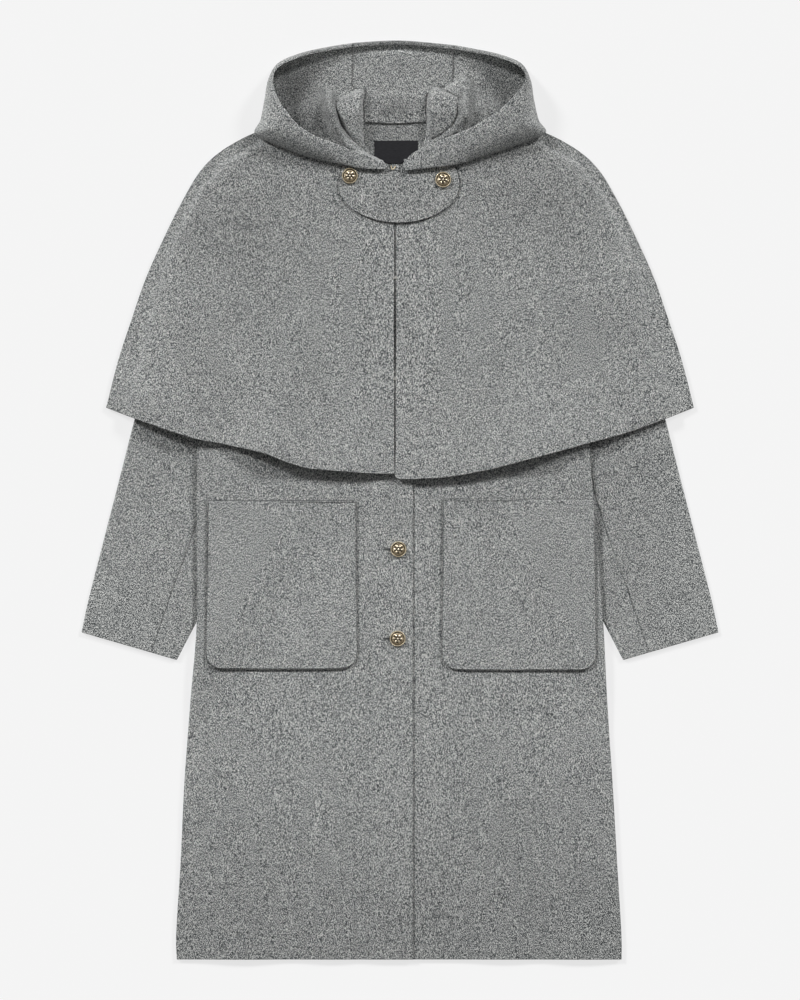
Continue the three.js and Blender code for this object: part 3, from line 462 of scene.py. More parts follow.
def smooth_line(points, steps=40):
    """A centripetal Catmull-Rom line, read at a share of its length."""
    p = np.array(points, float)
    ends = [2 * p[0] - p[1]], [2 * p[-1] - p[-2]]
    p = np.concatenate([ends[0], p, ends[1]])
    t = (np.arange(steps) / steps)[:, None]
    parts = []
    for a, b, c, d in zip(p, p[1:], p[2:], p[3:]):
        before, here, after = (
            math.sqrt(max(np.linalg.norm(v), 1e-12)) for v in (b - a, c - b, d - c)
        )
        start = ((b - a) / before - (c - a) / (before + here) + (c - b) / here) * here
        end = ((c - b) / here - (d - b) / (here + after) + (d - c) / after) * here
        bend = (3 * (c - b) - 2 * start - end) * t**2 + (start + end - 2 * (c - b)) * t**3
        parts.append(b + start * t + bend)
    line = np.concatenate([*parts, p[-2:-1]])
    length = np.concatenate([[0], np.cumsum(np.linalg.norm(np.diff(line, axis=0), axis=1))])

    def at(share):
        where = np.clip(share, 0, 1) * length[-1]
        return np.stack([np.interp(where, length, column) for column in line.T], axis=-1)

    at.length = length[-1]
    return at


def flipped(line):
    """The same line, run from its other end."""
    turned = lambda share: line(1 - np.asarray(share))
    turned.length = line.length
    return turned


def shares(length, spacing=FINE):
    """Shares along a length, closer together beside its ends."""
    near = np.array(EDGE_STEPS)
    count = max(int((length - 2 * near[-1]) / spacing), 2)
    middle = np.linspace(near[-1], length - near[-1], count + 1)[1:-1]
    return np.concatenate([near, middle, length - near[::-1]]) / length


def surface_between(top, bottom, left, right, us, vs):
    """Points between four edges. us run from left to right and vs from top to bottom."""
    u = np.asarray(us)[None, :, None]
    v = np.asarray(vs)[:, None, None]
    grid = top(us)[None] * (1 - v) + bottom(us)[None] * v
    grid = grid + left(vs)[:, None] * (1 - u) + right(vs)[:, None] * u
    corners = top(0) * (1 - u) * (1 - v) + top(1) * u * (1 - v)
    return grid - corners - bottom(0) * (1 - u) * v - bottom(1) * u * v


def mirrored(rows, side):
    return [(side * x, *rest) for x, *rest in rows]


def side_name(side):
    return "right" if side < 0 else "left"


# Outlines that several pieces share


def coat_half_width(y, side):
    return np.where(side < 0, read(COAT_SIDE, y, 1), read(COAT_SIDE, y, 2))


def cape_hem_y(x, hem):
    centre, rise, power = CAPE_HEM[hem]
    waves = 0 if hem == "back" else read(HEM_WAVES, x)
    return centre + rise * np.abs(x / CAPE_HALF_WIDTH) ** power + waves


def front_neck_y(x):
    share = np.clip(x / NECK_HALF_WIDTH, -1, 1)
    return NECK_Y - NECK_DROP * np.sqrt(1 - share * share)


def neck_points(from_x, to_x, steps=14):
    angles = np.linspace(
        math.asin(from_x / NECK_HALF_WIDTH), math.asin(to_x / NECK_HALF_WIDTH), steps + 1
    )
    x = NECK_HALF_WIDTH * np.sin(angles)
    return list(zip(x, front_neck_y(x)))


BACK_NECK = smooth_line(
    [(-NECK_HALF_WIDTH, NECK_Y), (0, NECK_Y - BACK_NECK_DIP), (NECK_HALF_WIDTH, NECK_Y)]
)


def armhole_points(side):
    share = np.linspace(0, 1, 7)
    hollow = ARMHOLE_HOLLOW * np.sin(math.pi * share)
    underarm_x = float(coat_half_width(UNDERARM_Y, side))
    x = SHOULDER[0] + (underarm_x - SHOULDER[0]) * share - hollow
    y = SHOULDER[1] + (UNDERARM_Y - SHOULDER[1]) * share
    return list(zip(side * x, y))


def tucked_edge(side):
    return [(float(coat_half_width(TUCK_TOP_Y, side)) + SEAM, TUCK_TOP_Y), *SLEEVE_INNER]


# Heights of the layers over the surface that the coat lies on


def past_neck_edge(x, y):
    """Distance from the front neck edge, positive below and outside it."""
    along = np.minimum(y - NECK_Y, 0) / NECK_DROP
    return (np.hypot(x / NECK_HALF_WIDTH, along) - 1) * NECK_DROP


def over_cape_back(x, y):
    return LEVEL * raised(y - cape_hem_y(x, "back"), slope=0.070, margin=0.024)


def tuck_share(x, y, start_y=UNDERARM_Y, top_y=TUCK_TOP_Y):
    """How much of its full lift the sleeve underneath gives the body."""
    past_cuff = np.maximum(SLEEVE_INNER[-1][1] - y, 0) * 0.8
    edge = [read([(ty, tx) for tx, ty in tucked_edge(side)], y) for side in (-1, 1)]
    edge_x = np.where(x < 0, edge[0], edge[1]) + past_cuff
    return raised(np.abs(x) - edge_x, TUCK_SPREAD) * (1 - ease(y, top_y, start_y))


def slope_ease(share):
    return SLOPE_EASE * 4 * share * (1 - share)


def beside(a, b, x, y):
    """How far along the straight run from a to b the nearest place is, and how far away."""
    dx, dy = b[0] - a[0], b[1] - a[1]
    share = np.clip(((x - a[0]) * dx + (y - a[1]) * dy) / (dx * dx + dy * dy), 0, 1)
    return share, np.hypot(x - a[0] - share * dx, y - a[1] - share * dy)


def away_from(points, x, y):
    """Distance from a line of points."""
    return np.min([beside(a, b, x, y)[1] for a, b in zip(points, points[1:])], axis=0)


def inside(outline, x, y):
    """Distance from a closed outline, positive inside it."""
    crossings = np.zeros(np.shape(x), int)
    for (ax, ay), (bx, by) in zip(outline, outline[1:] + outline[:1]):
        spans = (ay > y) != (by > y)
        crossings += spans & (x < ax + (bx - ax) * (y - ay) / ((by - ay) or 1e-9))
    nearest = away_from(outline + outline[:1], x, y)
    return np.where(crossings % 2 == 1, nearest, -nearest)


def folds_at(folds, x, y):
    """Height of the highest fold at each point. Every fold falls away from its crest."""
    best = np.zeros(np.broadcast(x, y).shape)
    for on_left, on_right, crest in folds:
        for a, b in zip(crest, crest[1:]):
            share, away = beside(a, b, x, y)
            left = (b[0] - a[0]) * (y - a[1]) - (b[1] - a[1]) * (x - a[0]) > 0
            away = away / np.where(left, on_left, on_right)
            best = np.maximum(best, (a[2] + (b[2] - a[2]) * share) * np.exp(-away * away))
    return best


def under_coat_back(x, y):
    return over_cape_back(x, y) + (2 * LEVEL + EASE) * tuck_share(x, y)


def under_left_front(x, y):
    slope = slope_ease(tuck_share(x, y))
    return under_coat_back(x, y) + LEVEL + EASE + slope + folds_at(COAT_FOLDS, x, y)


def under_right_front(x, y):
    return under_left_front(x, y) + LEVEL * raised(x - UNDER_EDGE_X, slope=0.024, margin=0.006)


def under_pocket(x, y, side):
    front = under_right_front if side < 0 else under_left_front
    return front(x, y) + LEVEL + 2 * EASE + slope_ease(tuck_share(x, y))


def over_coat(x, y, margin=0.009):
    """How far the coat and its sleeves lift the cape."""
    ax = np.abs(x)
    slope = (NECK_Y - SHOULDER[1]) / (SHOULDER[0] - NECK_HALF_WIDTH)
    below_shoulder = NECK_Y - (ax - NECK_HALF_WIDTH) * slope - y
    inside_sleeve = read([(sy, sx) for sx, sy in [SHOULDER, *SLEEVE_OUTER]], y) - ax
    from_edge = np.minimum(below_shoulder, inside_sleeve)
    return (2 * LEVEL + EASE + CAPE_EASE) * raised(from_edge, 0.010, margin)


def hem_lift(x, y):
    """How far the cape stands off the coat near its hem."""
    hem_y = np.where(x < CAPE_CENTRE_X, cape_hem_y(x, "right"), cape_hem_y(x, "left"))
    near = ease(LIFT_REACH - (y - hem_y), 0, LIFT_REACH)
    return near * near * read(CAPE_HEM_LIFT, x)


def under_cape_front(x, y):
    outside = np.abs(x) - coat_half_width(y, x)
    tucked = tuck_share(x, y, start_y=UNDERARM_Y + 0.060, top_y=TUCK_TOP_Y + 0.050)
    over_body = (2 * LEVEL + EASE) * tucked * (1 - ease(outside, MARGIN, MARGIN + 0.050))
    under, over = (raised(past, slope=0.110) for past in (x - UNDER_EDGE_X, TOP_EDGE_X - x))
    height = LEVEL + over_coat(x, y) + over_body + LEVEL * np.minimum(under, over)
    return height + hem_lift(x, y) + folds_at(CAPE_FOLDS, x, y)


def on_cape(x, y):
    return under_cape_front(x, y) + LEVEL


def under_hood(x, y):
    """Height of whatever the hood lies on: cape, coat, tab or label."""
    ax = np.abs(x)
    shoulder_y = np.where(ax < NECK_HALF_WIDTH, NECK_Y, read(CAPE_SIDE, ax))
    northward = raised(shoulder_y - y, slope=0.036, margin=0.004)
    cape_top = (on_cape(x, y) + over_coat(x, y, margin=0.030) - over_coat(x, y)) * northward
    on_front = cape_top * raised(past_neck_edge(x, y), slope=0.009, margin=0.008)
    on_back = 2 * LEVEL * northward
    beside_tab = np.maximum(ax - TAB_SHOULDER - 0.008, y - TAB_TOP)
    on_tab = (cape_top + LEVEL) * raised(-beside_tab, slope=0.005, margin=0.004)
    beside_label = np.maximum(np.abs(x - LABEL_X) - LABEL_WIDTH / 2, y - LABEL_TOP)
    on_label = (2 * LEVEL + 0.001) * raised(-beside_label, slope=0.006, margin=0.004)
    return np.maximum(np.maximum(on_back, on_front), np.maximum(on_tab, on_label))


# Materials


def new_material(name, **values):
    """A material, its nodes and its shader. The shader's own inputs are set by name."""
    material = bpy.data.materials.new(name)
    material.use_nodes = True
    tree = material.node_tree
    shader = tree.nodes["Principled BSDF"]
    set_inputs(shader, **values)
    return material, tree, shader


def set_inputs(node, **values):
    for name, value in values.items():
        node.inputs[name.replace("_", " ")].default_value = value


def stretched_noise(tree, scale, turn=0.0, stretch=(1, 1, 1), detail=2.0):
    """Noise on the cloth's own coordinates, turned in the plane it lies in and stretched."""
    coordinates = tree.nodes.new("ShaderNodeTexCoord")
    mapping = tree.nodes.new("ShaderNodeMapping")
    set_inputs(mapping, Rotation=(0, 0, math.radians(turn)), Scale=stretch)
    noise = tree.nodes.new("ShaderNodeTexNoise")
    set_inputs(noise, Scale=scale, Detail=detail, Roughness=0.6)
    tree.links.new(coordinates.outputs["Object"], mapping.inputs["Vector"])
    tree.links.new(mapping.outputs["Vector"], noise.inputs["Vector"])
    return noise.outputs["Fac"]


def combine(tree, operation, first, second):
    """A maths node. Each of its two inputs is a number or another node's output."""
    node = tree.nodes.new("ShaderNodeMath")
    node.operation = operation
    for socket, value in zip(node.inputs, (first, second)):
        if isinstance(value, (int, float)):
            socket.default_value = value
        else:
            tree.links.new(value, socket)
    return node.outputs[0]


def painted(tree, name):
    """What the points of the mesh hold under this name."""
    attribute = tree.nodes.new("ShaderNodeAttribute")
    attribute.attribute_name = name
    return attribute.outputs["Fac"]


def vary(tree, value, *noises):
    """The value plus each noise times its weight. A noise varies round a half."""
    for noise, weight in noises:
        centred = combine(tree, "SUBTRACT", noise, 0.5)
        value = combine(tree, "ADD", value, combine(tree, "MULTIPLY", centred, weight))
    return value


def colour_ramp(tree, value, stops):
    ramp = tree.nodes.new("ShaderNodeValToRGB")
    elements = ramp.color_ramp.elements
    elements.remove(elements[1])
    for i, (place, colour) in enumerate(stops):
        element = elements[0] if i == 0 else elements.new(place)
        element.position = place
        element.color = (*colour, 1)
    tree.links.new(value, ramp.inputs["Fac"])
    return ramp.outputs["Color"]


def add_bump(tree, shader, height, distance, strength=1.0):
    bump = tree.nodes.new("ShaderNodeBump")
    set_inputs(bump, Distance=distance, Strength=strength)
    tree.links.new(height, bump.inputs["Height"])
    tree.links.new(bump.outputs["Normal"], shader.inputs["Normal"])


def wool_material():
    """Mid-grey melange wool: light and dark fibres brushed slantwise, over soft mottling."""
    material, tree, shader = new_material(
        "wool", Roughness=0.95, Sheen_Weight=0.25, Sheen_Roughness=0.6, Specular_IOR_Level=0.15
    )
    slanted = stretched_noise(tree, 860, turn=-24, stretch=(1.5, 0.6, 1.0))
    crossing = stretched_noise(tree, 860, turn=20, stretch=(1.5, 0.7, 1.0))
    speckle = stretched_noise(tree, 1150, stretch=(1.1, 0.8, 1), detail=1)
    mottling = stretched_noise(tree, 60, stretch=(1, 0.7, 1), detail=4)
    broad = stretched_noise(tree, 9)
    fibres = vary(tree, 0, (slanted, 3.9), (crossing, 3.35), (speckle, 3.0))
    tone = vary(tree, fibres, (mottling, 0.14), (broad, 0.10))
    stops = [
        (0.0, (0.020, 0.024, 0.026)),
        (0.3, (0.101, 0.113, 0.116)),
        (0.5, (0.214, 0.228, 0.230)),
        (0.7, (0.384, 0.399, 0.398)),
        (1.0, (0.750, 0.752, 0.725)),
    ]
    colour = tree.nodes.new("ShaderNodeMix")
    colour.data_type = "RGBA"
    colour.blend_type = "MULTIPLY"
    set_inputs(colour, Factor=1.0)
    melange = colour_ramp(tree, combine(tree, "ADD", tone, 0.5), stops)
    tree.links.new(melange, colour.inputs["A"])
    # The wool's colour times the painted light and shade held on its points
    tree.links.new(painted(tree, "painted_shade"), colour.inputs["B"])
    tree.links.new(colour.outputs["Result"], shader.inputs["Base Color"])
    add_bump(tree, shader, fibres, 0.0006, 0.6)
    return material


def satin_material():
    """Plain black satin with fine ribs along the label."""
    material, tree, shader = new_material("label_satin", Roughness=0.65, Specular_IOR_Level=0.2)
    ribs = stretched_noise(tree, 1500, stretch=(0.15, 1.6, 1), detail=1)
    stops = [(0.3, (0.012, 0.012, 0.014)), (0.7, (0.022, 0.022, 0.025))]
    tree.links.new(colour_ramp(tree, ribs, stops), shader.inputs["Base Color"])
    add_bump(tree, shader, ribs, 0.0001, 0.5)
    return material


def gilt_material():
    """Gilt coloured by its relief: dark in the recesses, gold on the rim, near white on the
    raised leaves and boss as a painted highlight.
    """
    material, tree, shader = new_material("button_metal", Metallic=0.55, Roughness=0.28)
    tarnish = stretched_noise(tree, 900, detail=4)
    relief_tone = vary(tree, painted(tree, "relief"), (tarnish, 0.30))
    stops = [
        (0.20, (0.018, 0.013, 0.010)),
        (0.42, (0.070, 0.054, 0.038)),
        (0.52, (0.330, 0.265, 0.165)),
        (0.66, (0.860, 0.790, 0.650)),
        (0.86, (0.820, 0.680, 0.450)),
    ]
    tree.links.new(colour_ramp(tree, relief_tone, stops), shader.inputs["Base Color"])
    add_bump(tree, shader, tarnish, 0.00008, 0.4)
    return material


def wire_material():
    """Plain satin gilt of the throat hook."""
    material, tree, shader = new_material("hook_metal", Metallic=0.4, Roughness=0.35)
    tarnish = stretched_noise(tree, 900, detail=4)
    stops = [(0.3, (0.62, 0.49, 0.30)), (0.7, (0.86, 0.74, 0.52))]
    tree.links.new(colour_ramp(tree, tarnish, stops), shader.inputs["Base Color"])
    return material


def thread_material(name, colour):
    """Sewing thread, with painted shade in the grooves of its twist."""
    material, tree, shader = new_material(name, Roughness=0.8)
    twist = stretched_noise(tree, 2600, turn=40, stretch=(1, 0.3, 1), detail=1)
    stops = [(0.3, [c * 0.6 for c in colour]), (0.7, colour)]
    tree.links.new(colour_ramp(tree, twist, stops), shader.inputs["Base Color"])
    return material


WOOL = wool_material()
SATIN = satin_material()
GILT = gilt_material()
# Nearly black, a painted shadow in the buttonhole slits and along the pocket mouths
PAINTED_SHADOW = thread_material("painted_shadow", (0.05, 0.055, 0.056))
WORN_THREAD = thread_material("worn_thread", (0.13, 0.135, 0.135))
PALE_THREAD = thread_material("pale_thread", (0.58, 0.57, 0.54))


# Meshes


def add_object(name, data):
    thing = bpy.data.objects.new(name, data)
    bpy.context.scene.collection.objects.link(thing)
    return thing


def new_mesh(name, points, faces, material):
    mesh = bpy.data.meshes.new(name)
    mesh.from_pydata(np.asarray(points).reshape(-1, 3).tolist(), [], faces)
    mesh.materials.append(material)
    return mesh


def make_mesh(name, points, faces, material):
    """A smooth piece of the coat. All of it is one body."""
    mesh = new_mesh(name, points, faces, material)
    mesh.polygons.foreach_set("use_smooth", [True] * len(mesh.polygons))
    piece = add_object(name, mesh)
    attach(piece, "root")
    return piece


def paint(piece, name, values):
    """Give every point of the mesh its value under this name."""
    piece.data.attributes.new(name, "FLOAT", "POINT").data.foreach_set("value", values)


def bridge(rings):
    """Faces between closed rings of points, given as rows of point numbers."""
    faces = []
    for near, far in zip(rings, rings[1:]):
        faces.extend(np.stack([near, far, np.roll(far, -1), np.roll(near, -1)], -1).tolist())
    return faces


def unit(vectors):
    return vectors / np.maximum(np.linalg.norm(vectors, axis=-1, keepdims=True), 1e-12)


def grid_slopes(grid):
    """Steps down the rows and across the columns at each point."""
    padded = np.pad(grid, ((1, 1), (1, 1), (0, 0)), mode="edge")
    return padded[2:, 1:-1] - padded[:-2, 1:-1], padded[1:-1, 2:] - padded[1:-1, :-2]


def edge_loop(rows, cols):
    """Grid places round the edge: along the top, down, back along the bottom and up."""
    top = [(0, j) for j in range(cols)]
    down = [(i, cols - 1) for i in range(1, rows)]
    back = [(rows - 1, j) for j in range(cols - 2, -1, -1)]
    up = [(i, 0) for i in range(rows - 2, 0, -1)]
    return np.array(top + down + back + up)


EDGE_TURNS = np.radians([36, 72, 108, 144])  # round profile of a cloth edge


def patches_at(patches, x, y):
    """Painted shade under a list of patches, or painted light where an amount is negative."""
    light = np.ones_like(x)
    for centre_x, centre_y, reach_x, reach_y, amount in patches:
        away = ((x - centre_x) / reach_x) ** 2 + ((y - centre_y) / reach_y) ** 2
        light = light * (1 - amount * np.exp(-away))
    return light


def painted_shade_at(node, grid):
    """Painted light and shade on the wool at each point, as a factor on its colour."""
    x, y = grid[..., 0], grid[..., 1]
    # Painted shade, darker towards the hem
    start, end, amount = HEM_SHADE
    light = 1 - amount * ease(-y, -start, -end)
    # Painted shade and painted light in soft patches
    face = patches_at(PAINTED_SHADE_PATCHES.get(node, []), x, y)
    if node in BAND_SHADE_PATCHES:
        column = np.arange(grid.shape[1])
        # Painted light just under the rim, against its cast shadow
        start, end, amount, reach = UNDER_RIM_LIGHT
        below = (column - BAND_POINTS - TURN_POINTS) / reach
        face = face * (1 + amount * ease(y, start, end) * np.exp(-(below**4)))
        # Painted shade along the creases
        for width, amount, points in HOOD_CREASES:
            face = face * (1 - amount * np.exp(-((away_from(points, x, y) / width) ** 2)))
        # Painted shadow where the outer face meets the cape
        start, end, amount, reach = BAND_FOOT_SHADOW
        foot = (column - BAND_POINTS) / reach
        band = 1 - amount * ease(-y, -start, -end) * np.exp(-foot * foot)
        # Painted shade and painted light in patches on the outer face
        band = band * patches_at(BAND_SHADE_PATCHES[node], x, y)
        face = np.where(column < BAND_POINTS, band, face)
    light = light * face
    # Painted shadow along the outer lines of the face
    for line in (light[-1], light[:, 0], light[:, -1]):
        line *= EDGE_LINE_SHADOWS.get(node, 1)
    return light


def shell_faces(rows, cols, loop):
    """Faces of the outer side, of the inner side, and of the rings round the edge."""
    index = np.arange(rows * cols).reshape(rows, cols)
    quads = np.stack([index[:-1, :-1], index[1:, :-1], index[1:, 1:], index[:-1, 1:]], -1)
    quads = quads.reshape(-1, 4)
    faces = [quads, quads[:, ::-1] + rows * cols]
    on_outer = loop[:, 0] * cols + loop[:, 1]
    first = 2 * rows * cols + np.arange(len(EDGE_TURNS))[:, None] * len(loop)
    levels = [on_outer, *(first + np.arange(len(loop))), on_outer + rows * cols]
    for upper, lower in zip(levels, levels[1:]):
        faces.append(np.stack([upper, np.roll(upper, -1), np.roll(lower, -1), lower], -1))
    return np.concatenate(faces).tolist()


def cloth(node, grid, thickness=CLOTH, finish="cloth"):
    """A thin shell with its outer face on the grid, its inner face behind and round edges."""
    rows, cols = grid.shape[:2]
    down, across = grid_slopes(grid)
    inward = unit(np.cross(across, down))
    outward = np.zeros_like(grid)
    outward[0] -= unit(down[0])
    outward[-1] += unit(down[-1])
    outward[:, 0] -= unit(across[:, 0])
    outward[:, -1] += unit(across[:, -1])
    inset = outward * SOFT_EDGES.get(node, EDGE_TAPER) * thickness
    outer = grid - inset
    inner = grid + inward * thickness - inset
    loop = edge_loop(rows, cols)
    at_edge = loop[:, 0], loop[:, 1]
    base, back, out = grid[at_edge], inward[at_edge], inset[at_edge]
    rings = [
        base + back * thickness * (1 - math.cos(turn)) / 2 + out * (math.sin(turn) - 1)
        for turn in EDGE_TURNS
    ]
    points = np.concatenate([outer.reshape(-1, 3), inner.reshape(-1, 3), *rings])
    points[:, 2] = np.maximum(points[:, 2], 0)
    material, slot = (WOOL, "wool") if finish == "cloth" else (SATIN, "label_satin")
    piece = make_mesh(f"{node}_{finish}", points, shell_faces(rows, cols, loop), material)
    # Painted shade on the edges, and a painted highlight on the free edges of the hood
    shade = PAINTED_EDGE_SHADE.get(node, EDGE_SHADE)
    if node in BAND_SHADE_PATCHES:
        at_seam = (loop[:, 0] == 0) | (loop[:, 0] == rows - 1)
        shade = np.where(at_seam, HOOD_SEAM_SHADE, HOOD_EDGE_HIGHLIGHT)
    light = painted_shade_at(node, grid)
    edge = light[at_edge] * shade
    # The painted light and shade goes on the points as a factor on the wool's colour
    paint(piece, "painted_shade", np.concatenate([light.ravel(), light.ravel(), *[edge] * len(rings)]))
    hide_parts(node)


def edge_stitch(us, vs, width, length):
    """The shallow groove of the hand-sewn edge seam, at shares across and down a panel."""
    along = np.minimum(us, 1 - us)[None, :] * width
    down = np.minimum(vs, 1 - vs)[:, None] * length
    away = np.minimum(along, down) - STITCH_INSET
    return -STITCH_DEPTH * np.exp(-((away / STITCH_HALF_WIDTH) ** 2))


def lay_panel(name, edges, floor, spacing=FINE):
    """A panel that lies between four edges, its underside at the height that floor gives."""
    top, bottom, left, right = edges
    width = max(top.length, bottom.length)
    length = max(left.length, right.length)
    us, vs = shares(width, spacing), shares(length, spacing)
    flat = surface_between(top, bottom, left, right, us, vs)
    x, y = flat[..., 0], flat[..., 1]
    z = floor(x, y) + CLOTH + edge_stitch(us, vs, width, length)
    cloth(name, np.stack([x, y, z], axis=-1))


# Pieces


def make_cape_back():
    x = np.linspace(-CAPE_HALF_WIDTH, CAPE_HALF_WIDTH, 33)
    edges = (
        BACK_NECK,
        smooth_line(list(zip(x, cape_hem_y(x, "back")))),
        smooth_line(mirrored(CAPE_SIDE, -1)),
        smooth_line(CAPE_SIDE),
    )
    lay_panel("cape_back", edges, lambda x, y: 0 * x, spacing=0.008)


def make_cape_front(side):
    hem = side_name(side)
    edge_x = CAPE_CENTRE_X + side * SEAM / 2
    x = np.linspace(edge_x, side * CAPE_HALF_WIDTH, 41)
    y = cape_hem_y(x, hem)
    hem_points = list(zip(x, y))
    if side > 0:
        corner = [(edge_x + step, y[0] + rise) for step, rise in HEM_CORNER]
        hem_points = corner + hem_points[1:]
    front_edge = smooth_line(
        [
            (edge_x, float(front_neck_y(edge_x))),
            *((edge_x + side * parted, y) for y, parted in CAPE_EDGE),
            hem_points[0],
        ]
    )
    outline = smooth_line(mirrored(CAPE_SIDE, side))
    across = smooth_line(neck_points(edge_x, side * NECK_HALF_WIDTH))
    hem_line = smooth_line(hem_points)
    if side > 0:
        edges = (across, hem_line, front_edge, outline)
    else:
        edges = (flipped(across), flipped(hem_line), outline, front_edge)
    lay_panel(f"cape_front_{hem}", edges, under_cape_front)


def coat_side_points(side):
    column = 1 if side < 0 else 2
    rows = [(side * row[column], row[0]) for row in COAT_SIDE]
    return [*armhole_points(side)[:-1], *rows]


def shoulder_points(side):
    share = np.linspace(0, 1, 5)[:-1]
    x = SHOULDER[0] + (NECK_HALF_WIDTH - SHOULDER[0]) * share
    y = SHOULDER[1] + (NECK_Y - SHOULDER[1]) * share
    return list(zip(side * x, y))


def make_coat_back():
    necks = [tuple(p) for p in BACK_NECK(np.linspace(0, 1, 5))]
    bottom = [(-COAT_SIDE[-1][1], HEM_Y), (COAT_SIDE[-1][2], HEM_Y)]
    edges = (
        smooth_line([*shoulder_points(-1), *necks, *shoulder_points(1)[::-1]]),
        smooth_line(bottom),
        smooth_line(coat_side_points(-1)),
        smooth_line(coat_side_points(1)),
    )
    lay_panel("coat_back", edges, under_coat_back, spacing=0.006)


def make_coat_front(side):
    edge_x = TOP_EDGE_X if side < 0 else UNDER_EDGE_X
    neck = neck_points(side * NECK_HALF_WIDTH, edge_x)
    top = smooth_line([*shoulder_points(side), *neck])
    corner_x = side * COAT_SIDE[-1][1 if side < 0 else 2]
    bottom = smooth_line([(corner_x, HEM_Y), (edge_x, HEM_Y)])
    outside = smooth_line(coat_side_points(side))
    edge = smooth_line([neck[-1], (edge_x, HEM_Y)])
    if side < 0:
        edges = (top, bottom, outside, edge)
        floor = under_right_front
    else:
        edges = (flipped(top), flipped(bottom), edge, outside)
        floor = under_left_front
    lay_panel(f"coat_front_{side_name(side)}", edges, floor)


def sleeve_surface(side):
    """Places on a sleeve from a share across it and a share down it."""
    armhole = smooth_line(armhole_points(side))
    tip = (SHOULDER[0] + 0.001, SHOULDER[1])
    outer = smooth_line(mirrored([tip, *SLEEVE_OUTER], side))
    tucked = smooth_line(mirrored(tucked_edge(side), side))
    underarm = armhole(1)
    start = tucked(0)
    bulge = (underarm[0] + side * UNDERARM_BULGE[0], UNDERARM_Y - UNDERARM_BULGE[1])
    beside_body = smooth_line([tuple(underarm), bulge, tuple(start)])

    def at(share, v):
        past = (v - UNDERARM_SHARE) / (1 - UNDERARM_SHARE)
        above = past <= 0
        fan = beside_body(np.clip(v / UNDERARM_SHARE, 0, 1) ** UNDERARM_FAN)
        inner = np.where(above[..., None], fan, tucked(past))
        point = outer(v) + (inner - outer(v)) * share[..., None]
        straight = armhole(0) + (underarm - armhole(0)) * share[..., None]
        hollow = armhole(share) - straight
        point = point + hollow * (1 - np.clip(v / UNDERARM_SHARE, 0, 1))[..., None]
        point[..., 0] += np.where(above, side * ARMHOLE_SEAM, 0)
        return point

    return at


def sleeve_face(start, end, height, spacing=0.022):
    """Shares across one flat face of the sleeve with their height over the floor."""
    count = max(int(abs(end - start) / spacing), 2)
    return [(share, height) for share in np.linspace(start, end, count + 1)]


def sleeve_fold(edge_share, tall, upward):
    """The round fold along the sleeve's outer or inner edge."""
    turns = np.radians(np.linspace(-90, 90, 9))[1:-1] * (1 if upward else -1)
    inward = SLEEVE_FOLD if edge_share == 0 else -SLEEVE_FOLD
    return [
        (edge_share + inward * (1 - math.cos(turn)), tall / 2 * (1 + math.sin(turn)))
        for turn in turns
    ]


def make_sleeve(side):
    surface = sleeve_surface(side)
    tall = 2 * CLOTH + GAP
    vs = shares(SLEEVE_LENGTH)
    for piece in ("upper", "under"):
        rows = []
        for v in vs:
            seam = SEAM_SHARE_TOP + (SEAM_SHARE_CUFF - SEAM_SHARE_TOP) * v * v
            if piece == "upper":
                places = [
                    *sleeve_face(seam, SLEEVE_FOLD, tall),
                    *sleeve_fold(0, tall, upward=False),
                    *sleeve_face(SLEEVE_FOLD, BACK_SEAM_SHARE - SEAM_SHARE_GAP, 0),
                ]
            else:
                places = [
                    *sleeve_face(BACK_SEAM_SHARE + SEAM_SHARE_GAP, 1 - SLEEVE_FOLD, 0),
                    *sleeve_fold(1, tall, upward=True),
                    *sleeve_face(1 - SLEEVE_FOLD, seam + TOP_SEAM_SHARE_GAP, tall),
                ]
            rows.append(places)
        count = min(len(places) for places in rows)
        table = np.array([resampled(places, count) for places in rows])
        grid = surface(table[..., 0], np.repeat(vs[:, None], count, axis=1))
        z = over_cape_back(grid[..., 0], grid[..., 1]) + table[..., 1]
        grid = np.stack([grid[..., 0], grid[..., 1], z], axis=-1)
        if side > 0:
            grid = grid[::-1]
        cloth(f"sleeve_{side_name(side)}_{piece}", grid[:, ::-1])


def resampled(places, count):
    """The same line of places with another number of points."""
    at = np.linspace(0, len(places) - 1, count)
    table = np.array(places)
    return np.stack([np.interp(at, range(len(places)), column) for column in table.T], -1)


def make_pocket(side):
    name = side_name(side)
    x0, x1, y0, y1 = POCKETS[name]

    def corner(centre_x, start):
        angles = start + np.linspace(0, math.pi / 2, 7)
        x = centre_x + POCKET_CORNER * np.cos(angles)
        return list(zip(x, y0 + POCKET_CORNER * (1 + np.sin(angles))))

    rounded = corner(x0 + POCKET_CORNER, math.pi) + corner(x1 - POCKET_CORNER, math.pi * 1.5)
    edges = (
        smooth_line([(x0, y1), (x1, y1)]),
        smooth_line(rounded),
        smooth_line([(x0, y1), rounded[0]]),
        smooth_line([(x1, y1), rounded[-1]]),
    )
    lay_panel(f"pocket_{name}", edges, lambda x, y: under_pocket(x, y, side))


def make_tab():
    def on_ellipse(degrees):
        angle = math.radians(degrees)
        return TAB_X + TAB_HALF_WIDTH * math.cos(angle), TAB_MIDDLE + TAB_DROP * math.sin(angle)

    bottom = [on_ellipse(degrees) for degrees in range(210, 331, 10)]
    upper_left = (TAB_X - TAB_SHOULDER, TAB_TOP)
    upper_right = (TAB_X + TAB_SHOULDER, TAB_TOP)
    edges = (
        smooth_line([upper_left, upper_right]),
        smooth_line(bottom),
        smooth_line([upper_left, on_ellipse(180), on_ellipse(195), bottom[0]]),
        smooth_line([upper_right, on_ellipse(0), on_ellipse(345), bottom[-1]]),
    )
    lay_panel("throat_tab", edges, on_cape, spacing=0.003)


